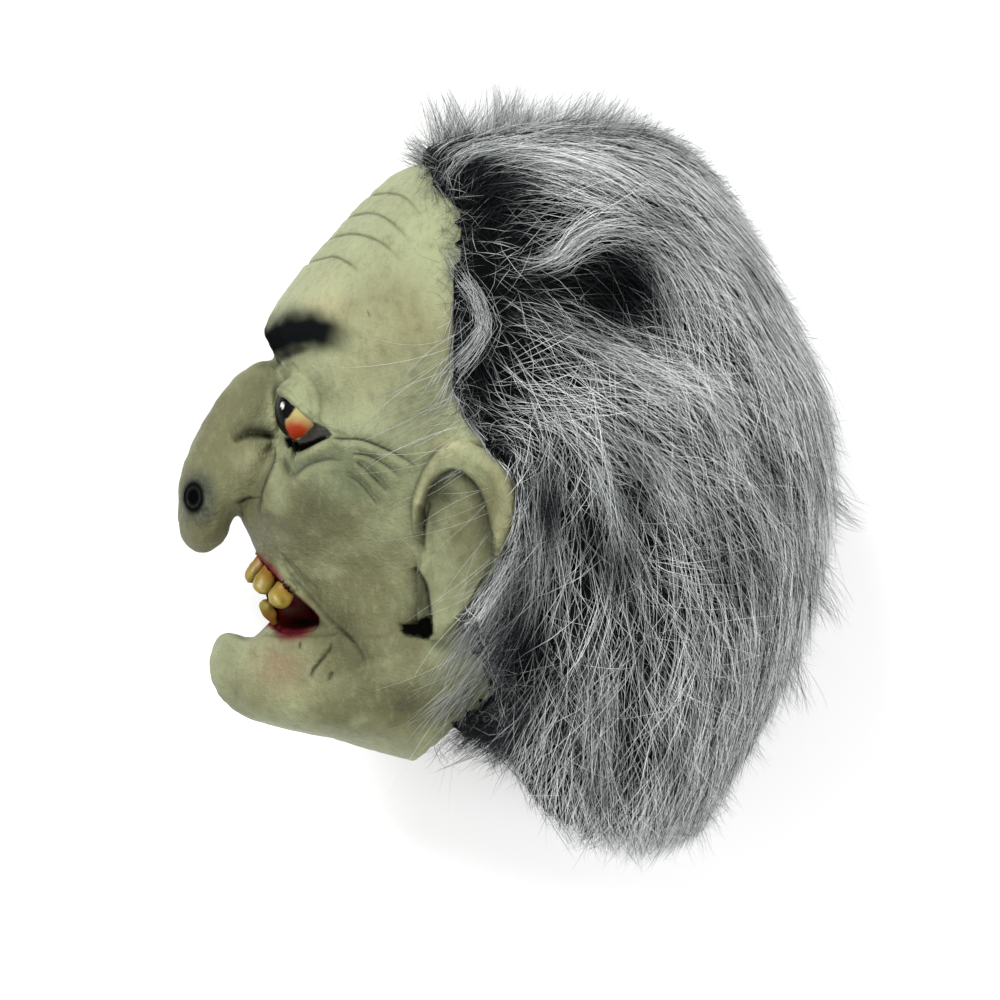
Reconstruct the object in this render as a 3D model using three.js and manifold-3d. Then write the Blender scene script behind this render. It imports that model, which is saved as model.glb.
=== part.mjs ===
// Over-the-head ghoul mask: a hood of cast latex with a wig of long-pile fur fabric glued over it.
// The mask lies on its right side. +X runs from the face to the back of the head, +Y from the neck to the
// crown and +Z up to the left side of the face. The origin is under the middle of the mask, on the surface
// it lies on.
import * as THREE from 'three';
import { mergeVertices } from 'three/addons/utils/BufferGeometryUtils.js';
import Module from 'manifold-3d';

// Driving dimensions in millimetres
const MID_PLANE = 106; // the plane of symmetry's height over the surface
const WALL = 3; // cast latex
const GLUE_GAP = 0.4; // between the latex and the fur's backing
const FAR = 400; // well outside the mask, for cutters
const MIDDLE_BLEND = 8; // the two halves of the face blend over this distance

const HEAD = {
  widest: 84, // half the head's width, over the ears
  domeLevel: 40, // level of the widest ring
  crown: 153, // top of the cranium
  occiput: 121, // back of the cranium
  neckLevel: -129, // lowest point of the jaw
  napeDraw: 60, // how far the nape draws in at the neck level
  jawDraw: 38, // how much narrower each side is at the neck level
  domePower: 2.4, // squareness of the cranium seen from the front and the side
  backPower: 2.2, // squareness of the back of the head seen from above
  napePower: 1.5, // how late the nape draws in on the way down
  jawPower: 1.8, // how late the jaw narrows on the way down
  middleAtCrown: 16, // where a level is widest, at the crown and at the neck level
  middleAtNeck: -18,
};

// The face's profile on the plane of symmetry without the nose, from the crown down, as [x, y]
const PROFILE = [
  [4, 153], [-38, 146], [-55, 139], [-81, 112], [-105, 83.5], [-111.3, 68], [-106, 54.5], [-104, 42], [-105, 27],
  [-109, 12], [-117, -2], [-124, -14], [-120, -24], [-115.5, -34], [-112, -47], [-109.5, -60], [-112, -68],
  [-119, -71], [-133, -72], [-138, -84.5], [-133, -99.5], [-119.5, -110], [-81, -118.5], [-43, -129], [8, -131],
];

// How square the front of each level is, seen from above, as [level, power]
const FULLNESS = [[153, 2], [68, 2.4], [12, 2.4], [-14, 2], [-40, 1.6], [-84, 1.62], [-131, 1.9]];

// Swellings and hollows of the face: centre, reach and push, each as [x, y, distance from the plane of symmetry]
const FEATURES = {
  browRidge: { at: [-106, 66, 30], reach: [22, 9, 22], push: [-3, 0, 2] },
  eyeSocket: { at: [-100, 30, 35], reach: [18, 15, 16], push: [10, 0, -2] },
  cheekApple: { at: [-100, -8, 44], reach: [22, 17, 16], push: [-7, 0, 3] },
  cheekbone: { at: [-62, 6, 76], reach: [28, 15, 30], push: [0, 0, 4] },
  temple: { at: [-58, 62, 76], reach: [24, 26, 30], push: [0, 0, -4] },
  cheekHollow: { at: [-62, -46, 62], reach: [22, 18, 30], push: [0, 0, -5] },
  jawAngle: { at: [-30, -88, 62], reach: [26, 22, 30], push: [0, 0, 4] },
};

// The nose's sections from its root to its tip: the ridge and the rear in profile, and half the width
const NOSE = [
  { ridge: [-92, 56], rear: [-92, 56], width: 0 },
  { ridge: [-112, 55.5], rear: [-90, 36], width: 11.5 },
  { ridge: [-125.5, 48], rear: [-98, 22], width: 13 },
  { ridge: [-135.8, 34.5], rear: [-102, 12], width: 15 },
  { ridge: [-145.5, 17.5], rear: [-104, 2], width: 19 },
  { ridge: [-151.8, 0], rear: [-108, -9], width: 21 },
  { ridge: [-151.5, -14], rear: [-124.5, -14.5], width: 18.5 },
  { ridge: [-150.8, -25], rear: [-128.5, -24], width: 15 },
  { ridge: [-147, -31], rear: [-133.5, -30.5], width: 9.5 },
  { ridge: [-140.5, -34], rear: [-140.5, -34], width: 0 },
];
const NOSE_SPACING = 10; // rough distance between the sections
const NOSE_WING = { at: [-117, 3.5, 14], radii: [10.5, 12.5, 9.5] };

const EYE = { at: [-91, 31.5, 34], radius: 15, lid: 2.6 };
const SIGHT_SLOT = { at: [-98, 17.5, 36], size: [60, 3.2, 28], tilt: 40 }; // tilt in degrees, down on the outside

// The opening between the lids in profile, from the nose side of the upper lid round the outer corner, as [x, y]
const EYE_OPENING = [
  [-118, 41], [-106, 40.5], [-97, 34.5], [-86, 25], [-90, 15.5], [-98, 12.5], [-104, 19], [-118, 21],
];

// The open mouth's outline in profile, from the upper lip's middle by the corner to the lower lip's, as [x, y]
const MOUTH = [
  [-117, -33.5], [-99.8, -48.8], [-87, -60], [-84, -66.5], [-91, -69.8], [-103, -70.2], [-110.5, -66],
];
const MOUTH_OUTSIDE = [[-150, -60], [-150, -33.5]];
const MOUTH_MIDDLE = [-112, -55];
const MOUTH_HALF_WIDTH = 60;
// The throat that closes the mouth on the plane of symmetry, hollow from behind
const THROAT = { at: [-86, -52, 0], radii: [26, 30, 17], lip: 1 };
const THROAT_HOLLOW = { at: [-84, -52, 0], radii: [22.5, 25, 13.5] };

// Teeth: middle of the gum end, distance from the plane of symmetry, size, and +1 for upper or -1 for lower
const TEETH = [
  { at: [-113.5, -31], side: 5, length: 17, radius: 4, upper: 1, lean: -4 },
  { at: [-106.5, -38], side: 15.5, length: 17, radius: 4.4, upper: 1, lean: -6.5 },
  { at: [-98.5, -45], side: 26, length: 16, radius: 4.6, upper: 1, lean: -4 },
  { at: [-108, -70], side: 8, length: 19, radius: 3.2, upper: -1, lean: -4 },
];
const TOOTH_FORM = { roundness: 0.7, gumSwell: 1.15, taper: 0.55 };

// The ear's outline in profile, from its front attachment over the top to the lobe, as [x, y]
const EAR_OUTLINE = [
  [-41.5, -12], [-36, 6], [-25.3, 17], [-11.5, 13.8], [1.4, 1.8], [4.2, -13], [-2.3, -31.7], [-12, -52], [-24, -68],
  [-34, -75.5], [-41, -68], [-41, -40],
];
const EAR = {
  middle: [-21, -22],
  attachX: -41, // the front edge, where the ear leaves the head
  attachSide: 72, // distance of that edge from the plane of symmetry
  flare: 0.62, // how far the ear stands out for each millimetre towards the back
  rimHeight: 4, // the rolled rim over the plate
  rimAt: 0.93, // the rim's crest, as a share of the way from the middle to the edge
  rimSpread: 0.13,
  bowlDepth: 5,
  thickness: 4.5,
  ringSpread: 2.25, // how soon the rings reach the edge
};

// The neck edge in profile, from the jaw's corner up to the nape, as [x, y]
const NECK_EDGE = [[-44.5, -129.7], [-6.4, -98], [42, -74], [107, -51], [FAR, 0]];

// The hair's outer form: [level, front, back, half width]
const HAIR = [
  [168, 24, 24, 0], [165, -20, 56, 36], [158, -50, 78, 60], [145, -72, 93, 78], [126, -86, 107, 93],
  [96, -92, 124, 105], [56, -94, 141, 112], [18, -94, 151.8, 116], [-20, -94, 149, 117], [-60, -92, 143, 115],
  [-90, -88, 131, 110], [-118, -80, 116, 104], [-142, -66, 102, 98], [-158, -50, 92, 92], [-166, -24, 80, 84],
  [-168, 50, 50, 0],
];
const HAIR_MIDDLE = 42;
const HAIR_POWER = 2.1;

// The hairline in profile, from the forehead round behind the ear and down the hair's lower edge, as [x, y]
const HAIRLINE = [
  [-38, 180], [-41.5, 145], [-36, 136], [-26, 121], [-28.5, 105], [-26, 84], [-26, 56], [-24.5, 38], [-15, 22.5],
  [0.5, 13], [8, -5], [6, -24], [-6, -47], [-19, -70], [-29, -88], [-36, -106], [-34, -121], [-14, -125.5],
  [4, -135], [19, -153], [38, -165], [58, -176],
];

// The way for the neck through the hair below the latex: an upright oval, as middle x, half depth and half width
const NECK_WAY = { middle: 16, depth: 68, width: 74, top: -60, segments: 28 };

const REST_PATCH_LEVEL = 0; // the hair is pressed flat where the mask lies on it
const SIDES = [1, -1]; // the left and the right of the plane of symmetry

const MOUTH_POINTS = 12;
const NECK_POINTS = 14;
const HAIRLINE_POINTS = 44;
const HEAD_SIDES = 28;
const HEAD_RINGS = 2 * (PROFILE.length - 1);
const INNER_SIDES = 18;
const INNER_RINGS = 25;
const INNER_NOSE_SIDES = 8;
const NOSE_SIDES = 16;
const NOSE_RINGS = 14;
const BALL_SIDES = 12;
const BALL_RINGS = 8;
const EAR_SIDES = 22;
const EAR_RINGS = 8;
const TOOTH_SIDES = 6;
const TOOTH_RINGS = 5;
const HAIR_SIDES = 22;
const HAIR_RINGS = 20;

const wasm = await Module();
wasm.setup();

// Turns a closed geometry into a solid for joining and cutting
function solidOf(geometry) {
  geometry.deleteAttribute('normal');
  geometry.deleteAttribute('uv');
  const merged = mergeVertices(geometry, 1e-4);
  return new wasm.Manifold(new wasm.Mesh({
    numProp: 3,
    vertProperties: new Float32Array(merged.attributes.position.array),
    triVerts: new Uint32Array(merged.index.array),
  }));
}

// Turns a solid back into a named mesh
function meshOf(solid, name, material) {
  const { vertProperties, triVerts } = solid.getMesh();
  const geometry = new THREE.BufferGeometry();
  geometry.setAttribute('position', new THREE.BufferAttribute(vertProperties, 3));
  geometry.setIndex(new THREE.BufferAttribute(triVerts, 1));
  const mesh = new THREE.Mesh(geometry, material);
  mesh.name = name;
  return mesh;
}

// Lofts a closed body over rings: place(t, angle) gives the point at t from 0 to 1 down the rings
function loft(sides, rings, place) {
  const geometry = new THREE.SphereGeometry(1, sides, rings);
  const { position, uv } = geometry.attributes;
  for (let i = 0; i < position.count; i += 1) {
    const ring = Math.round((1 - uv.getY(i)) * rings);
    const atPole = ring === 0 || ring === rings;
    const point = place(ring / rings, atPole ? 0 : uv.getX(i) * 2 * Math.PI);
    position.setXYZ(i, point.x, point.y, point.z);
  }
  return geometry;
}

// Reads a value between rows of [key, value, ...], falling from one key to the next
function between(rows, key, column) {
  const last = rows.length - 1;
  if (key >= rows[0][0]) return rows[0][column];
  if (key <= rows[last][0]) return rows[last][column];
  const below = rows.findIndex((row) => row[0] < key);
  const [high, low] = [rows[below - 1], rows[below]];
  return THREE.MathUtils.mapLinear(key, high[0], low[0], high[column], low[column]);
}

function smoothCurve(points) {
  return new THREE.CatmullRomCurve3(points.map(([x, y]) => new THREE.Vector3(x, y, 0)), false, 'centripetal');
}

function signedPower(value, power) {
  return Math.sign(value) * Math.abs(value) ** power;
}

// A round or squarish ring: front and back are its x limits and width its half width
function ringPoint(angle, level, { front, middle, back, width, frontPower, backPower }) {
  const forward = -Math.cos(angle);
  const power = forward < 0 ? frontPower : backPower;
  const reach = forward < 0 ? middle - front : back - middle;
  const x = middle + reach * signedPower(forward, 2 / power);
  return new THREE.Vector3(x, level, width * signedPower(Math.sin(angle), 2 / power));
}

// Moves a point of the face by the swellings and hollows near it
function swell(point) {
  const moved = point.clone();
  for (const { at, reach, push } of Object.values(FEATURES)) {
    const side = Math.abs(point.z) - at[2];
    const distance = ((point.x - at[0]) / reach[0]) ** 2 + ((point.y - at[1]) / reach[1]) ** 2
      + (side / reach[2]) ** 2;
    const weight = Math.exp(-distance);
    moved.x += push[0] * weight;
    moved.y += push[1] * weight;
    moved.z += Math.tanh(point.z / MIDDLE_BLEND) * push[2] * weight;
  }
  return moved;
}

// The head without nose and ears, drawn in by inset on all sides
const faceProfile = smoothCurve(PROFILE);
function headGeometry(inset, sides, rings) {
  return loft(sides, rings, (t, angle) => {
    const onFace = faceProfile.getPoint(t);
    const along = faceProfile.getTangent(t);
    const level = onFace.y;
    const rise = Math.max(0, (level - HEAD.domeLevel) / (HEAD.crown - HEAD.domeLevel));
    const drop = Math.max(0, (HEAD.domeLevel - level) / (HEAD.domeLevel - HEAD.neckLevel));
    const dome = Math.max(0, 1 - rise ** HEAD.domePower) ** (1 / HEAD.domePower);
    const middle = THREE.MathUtils.mapLinear(
      level, HEAD.crown, HEAD.neckLevel, HEAD.middleAtCrown, HEAD.middleAtNeck);
    const atPole = t === 0 || t === 1;
    const backReach = (HEAD.occiput - middle) * dome - HEAD.napeDraw * drop ** HEAD.napePower;
    const width = HEAD.widest * dome - HEAD.jawDraw * drop ** HEAD.jawPower;
    const power = between(FULLNESS, level, 1);
    const front = onFace.x - inset * along.y;
    const point = ringPoint(angle, level + inset * along.x, {
      front: atPole ? middle : Math.min(front, middle - 1),
      middle,
      back: atPole ? middle : middle + Math.max(1, backReach - inset),
      width: atPole ? 0 : Math.max(1, width - inset),
      frontPower: power,
      backPower: HEAD.backPower,
    });
    return swell(point);
  });
}

// The nose, drawn in by inset
const noseRidge = smoothCurve(NOSE.map((section) => section.ridge));
const noseRear = smoothCurve(NOSE.map((section) => section.rear));
const noseWidth = smoothCurve(NOSE.map((section, i) => [section.width, i * NOSE_SPACING]));
function noseGeometry(inset, sides, rings) {
  return loft(sides, rings, (t, angle) => {
    const atPole = t === 0 || t === 1;
    const ridge = noseRidge.getPoint(t);
    const rear = noseRear.getPoint(t);
    const middle = ridge.clone().add(rear).multiplyScalar(0.5);
    const depth = Math.max(0.5, ridge.distanceTo(rear) / 2 - inset);
    const width = Math.max(0.5, noseWidth.getPoint(t).x - inset);
    const forward = atPole ? new THREE.Vector3() : ridge.sub(rear).normalize();
    const lift = new THREE.Vector3(0, t === 1 ? inset : 0, atPole ? 0 : Math.sin(angle) * width);
    return middle.addScaledVector(forward, Math.cos(angle) * depth).add(lift);
  });
}

function ball([x, y, z], [rx, ry, rz], sides, rings) {
  return new THREE.SphereGeometry(1, sides, rings).scale(rx, ry, rz).translate(x, y, z);
}

// A blunt tooth, round at its gum end and drawn in towards its tip
function toothGeometry({ at, length, radius, upper, lean }, side) {
  return loft(TOOTH_SIDES, TOOTH_RINGS, (t, angle) => {
    const fromGum = upper > 0 ? t : 1 - t;
    const fullness = TOOTH_FORM.gumSwell - TOOTH_FORM.taper * fromGum;
    const swellOfTooth = Math.sin(Math.PI * t) ** TOOTH_FORM.roundness * fullness;
    return new THREE.Vector3(
      at[0] + lean * fromGum - Math.cos(angle) * radius * swellOfTooth,
      at[1] - upper * length * fromGum,
      side + Math.sin(angle) * radius * swellOfTooth,
    );
  });
}

// One ear: a flaring plate with a rolled rim and a hollow bowl. side is +1 for the left ear and -1 for the right
const earRim = new THREE.CatmullRomCurve3(
  EAR_OUTLINE.map(([x, y]) => new THREE.Vector3(x, y, 0)), true, 'centripetal');
function earGeometry(side) {
  const geometry = loft(EAR_SIDES, EAR_RINGS, (t, angle) => {
    const outwards = t < 0.5;
    const spread = Math.min(1, (outwards ? t : 1 - t) * EAR.ringSpread);
    const rim = earRim.getPointAt((1 - angle / (2 * Math.PI)) % 1);
    const x = THREE.MathUtils.lerp(EAR.middle[0], rim.x, spread);
    const y = THREE.MathUtils.lerp(EAR.middle[1], rim.y, spread);
    const plate = EAR.attachSide + EAR.flare * (x - EAR.attachX);
    const roll = EAR.rimHeight * Math.exp(-(((spread - EAR.rimAt) / EAR.rimSpread) ** 2));
    const bowl = EAR.bowlDepth * (1 - spread ** 2);
    const lift = outwards ? roll - bowl : -EAR.thickness - bowl;
    return new THREE.Vector3(x, y, side * (plate + lift));
  });
  if (side < 0) {
    const { index } = geometry; // mirrored, so its triangles are turned round
    for (let i = 0; i < index.count; i += 3) {
      const first = index.getX(i);
      index.setX(i, index.getX(i + 1));
      index.setX(i + 1, first);
    }
  }
  return geometry;
}

// A straight cutter: an outline in profile run right through the mask from side to side
function throughCutter(points, halfWidth) {
  const outline = new THREE.Shape(points.map(([x, y]) => new THREE.Vector2(x, y)));
  const settings = { depth: 2 * halfWidth, bevelEnabled: false };
  return new THREE.ExtrudeGeometry(outline, settings).translate(0, 0, -halfWidth);
}

function curvePoints(points, count) {
  return smoothCurve(points).getSpacedPoints(count).map(({ x, y }) => [x, y]);
}

// The mouth's outline, grown by extra for the wall of its pocket
function mouthGeometry(extra) {
  const grown = MOUTH.map(([x, y]) => {
    const away = new THREE.Vector2(x - MOUTH_MIDDLE[0], y - MOUTH_MIDDLE[1]).setLength(extra);
    return [x + away.x, y + away.y];
  });
  const outside = MOUTH_OUTSIDE.map(([x, y], i) => [x, y + (i === 0 ? -extra : extra)]);
  return throughCutter([...curvePoints(grown, MOUTH_POINTS), ...outside], MOUTH_HALF_WIDTH);
}

function neckCutter() {
  const edge = curvePoints(NECK_EDGE, NECK_POINTS);
  return throughCutter([[-FAR, -FAR], [-FAR, NECK_EDGE[0][1] - 1], ...edge, [FAR, -FAR]], FAR);
}

function hairlineCutter() {
  const line = curvePoints(HAIRLINE, HAIRLINE_POINTS);
  const [start, end] = [HAIRLINE[0], HAIRLINE[HAIRLINE.length - 1]];
  return throughCutter([...line, [end[0], -FAR], [-FAR, -FAR], [-FAR, FAR], [start[0], FAR]], FAR);
}

function hairGeometry() {
  const limits = new THREE.CatmullRomCurve3(
    HAIR.map(([level, front, back]) => new THREE.Vector3(level, front, back)), false, 'catmullrom');
  const widths = new THREE.CatmullRomCurve3(
    HAIR.map(([level, front, back, width]) => new THREE.Vector3(width, 0, 0)), false, 'catmullrom');
  return loft(HAIR_SIDES, HAIR_RINGS, (t, angle) => {
    const { x: level, y: front, z: back } = limits.getPoint(t);
    const width = widths.getPoint(t).x;
    const middle = THREE.MathUtils.clamp(HAIR_MIDDLE, Math.min(front, back), Math.max(front, back));
    return ringPoint(angle, level, {
      front, middle, back, width: Math.max(0, width), frontPower: HAIR_POWER, backPower: HAIR_POWER,
    });
  });
}

function neckWayGeometry() {
  const height = FAR;
  const way = new THREE.CylinderGeometry(1, 1, height, NECK_WAY.segments);
  return way.scale(NECK_WAY.depth, 1, NECK_WAY.width)
    .translate(NECK_WAY.middle, NECK_WAY.top - height / 2, 0);
}

// Everything under the surface that the mask lies on
function floorCutter() {
  return new THREE.BoxGeometry(2 * FAR, 2 * FAR, FAR)
    .translate(0, 0, -MID_PLANE + REST_PATCH_LEVEL - FAR / 2);
}

function joined(solids) {
  return solids.reduce((sum, solid) => sum.add(solid));
}

// Both of a pair of balls, at the two sides of the plane of symmetry
function pairOfBalls([x, y, z], radii) {
  return joined(SIDES.map((side) => solidOf(ball([x, y, side * z], radii, BALL_SIDES, BALL_RINGS))));
}

function eyePair(radius) {
  return pairOfBalls(EYE.at, [radius, radius, radius]);
}

function latexMask() {
  const lids = eyePair(EYE.radius + EYE.lid).subtract(solidOf(throughCutter(EYE_OPENING, FAR)));
  const outside = joined([
    solidOf(headGeometry(0, HEAD_SIDES, HEAD_RINGS)),
    solidOf(noseGeometry(0, NOSE_SIDES, NOSE_RINGS)),
    pairOfBalls(NOSE_WING.at, NOSE_WING.radii),
    lids,
    eyePair(EYE.radius),
    ...SIDES.map((side) => solidOf(earGeometry(side))),
  ]);
  const inside = joined([
    solidOf(headGeometry(WALL, INNER_SIDES, INNER_RINGS)),
    solidOf(noseGeometry(WALL, INNER_NOSE_SIDES, NOSE_RINGS)),
    eyePair(EYE.radius - WALL),
  ]).subtract(solidOf(mouthGeometry(WALL)))
    .add(solidOf(ball(THROAT_HOLLOW.at, THROAT_HOLLOW.radii, BALL_SIDES, BALL_RINGS)));
  const throat = solidOf(mouthGeometry(THROAT.lip))
    .intersect(solidOf(ball(THROAT.at, THROAT.radii, BALL_SIDES, BALL_RINGS)));
  const toothOf = (tooth, side) => solidOf(toothGeometry(tooth, side * tooth.side));
  const teeth = TEETH.flatMap((tooth) => SIDES.map((side) => toothOf(tooth, side)));
  const slots = SIDES.map((side) => {
    const [x, y, z] = SIGHT_SLOT.at;
    const slot = new THREE.BoxGeometry(...SIGHT_SLOT.size);
    return solidOf(slot.rotateX(side * THREE.MathUtils.degToRad(SIGHT_SLOT.tilt)).translate(x, y, side * z));
  });
  return joined([outside.subtract(solidOf(mouthGeometry(0))), throat, ...teeth])
    .subtract(inside)
    .subtract(joined(slots))
    .subtract(solidOf(neckCutter()));
}

function furHair() {
  return solidOf(hairGeometry())
    .subtract(solidOf(headGeometry(-GLUE_GAP, HEAD_SIDES, HEAD_RINGS)))
    .subtract(solidOf(hairlineCutter()))
    .subtract(solidOf(neckWayGeometry()))
    .subtract(solidOf(floorCutter()));
}

const mask = new THREE.Group();
const latex = new THREE.MeshStandardMaterial({ color: '#a3a27d', roughness: 0.55, metalness: 0 });
const fur = new THREE.MeshStandardMaterial({ color: '#6b6f6f', roughness: 0.9, metalness: 0 });
mask.add(meshOf(latexMask(), 'latex_mask', latex));
mask.add(meshOf(furHair(), 'fur_hair', fur));
mask.position.set(0, 0, MID_PLANE);

export default mask;
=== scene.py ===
"""Looks of an over-the-head ghoul mask: a painted latex hood under a wig of long grey fur, lying on its side.

The mask lies on its right side. +X runs from the face to the back of the head, +Y from the neck to the crown
and +Z up to the left side of the face. Sizes in the tables are millimetres in profile, as seen from the side.
"""

import math

import bpy
import numpy as np
from bpy.props import FloatProperty, FloatVectorProperty, IntProperty, PointerProperty
from bpy.types import Operator, Panel, PropertyGroup
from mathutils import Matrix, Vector
from mathutils.bvhtree import BVHTree


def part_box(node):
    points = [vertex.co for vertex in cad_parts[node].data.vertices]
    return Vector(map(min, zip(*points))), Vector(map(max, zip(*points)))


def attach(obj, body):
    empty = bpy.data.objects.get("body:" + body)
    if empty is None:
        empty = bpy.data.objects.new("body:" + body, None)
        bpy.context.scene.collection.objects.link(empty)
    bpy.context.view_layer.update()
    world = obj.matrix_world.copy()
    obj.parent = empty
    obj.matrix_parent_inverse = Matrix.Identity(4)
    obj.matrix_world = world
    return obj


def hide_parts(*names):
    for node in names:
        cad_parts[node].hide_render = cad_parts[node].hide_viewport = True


bl_info = {
    "name": "Ghoul mask",
    "version": (1, 0, 0),
    "blender": (4, 5, 0),
    "location": "View3D > Sidebar > Mask",
    "description": "Builds a painted latex ghoul mask with a wig of long grey fur",
    "category": "Object",
}

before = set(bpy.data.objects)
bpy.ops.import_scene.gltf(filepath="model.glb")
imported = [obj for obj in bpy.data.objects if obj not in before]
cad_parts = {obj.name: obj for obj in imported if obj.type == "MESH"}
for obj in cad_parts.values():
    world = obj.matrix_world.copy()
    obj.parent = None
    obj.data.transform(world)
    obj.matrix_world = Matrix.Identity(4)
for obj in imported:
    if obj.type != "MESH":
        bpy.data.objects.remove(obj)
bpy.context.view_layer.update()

MM = 0.001
SEED = 17
NOISE_WAVES = 9  # how many waves cross in a noise, and what their sum is divided by
NOISE_HEIGHT = 4
latex_low, latex_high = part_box("latex_mask")
MIDDLE = (latex_low.z + latex_high.z) / 2  # height of the plane of symmetry
CAMERA_AIM = (-0.00368, -0.0092)
CAMERA_HEIGHT = 3.0
CAMERA_REACH = 20
PICTURE_WIDTH = 0.46  # what the camera sees at the plane of symmetry
SENSOR = 36.0
FLOOR_SIZE = 12
AIR_LIGHT = 0.56
# The lamps: name, place, diameter and power
LIGHTS = [("key_light", (-1.8, 2.6, 3.5), 2.4, 235), ("fill_light", (1.6, -1.6, 4.4), 2.8, 165)]

# Points in profile inside the hood, from which all of its inner wall is seen
INSIDE_VIEWS = [(15, 20), (-60, 0), (-120, 5), (-100, -90), (0, -80), (-75, 70), (20, 110)]

# The forehead's fine wrinkles in profile
FOREHEAD_LINES = [
    [(-72, 129), (-59.3, 130.6), (-52, 130.2), (-45.5, 127), (-37.7, 117.3)],
    [(-82, 119), (-69.9, 121), (-60.7, 121), (-52, 115.9), (-42.3, 105.3)],
    [(-90, 109), (-76.8, 111.3), (-67.6, 111.3), (-56.1, 106.3), (-46.5, 96.6)],
    [(-100, 98), (-84.2, 100.7), (-78.7, 101.2), (-72.2, 98), (-66.7, 92.9)],
]
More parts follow.
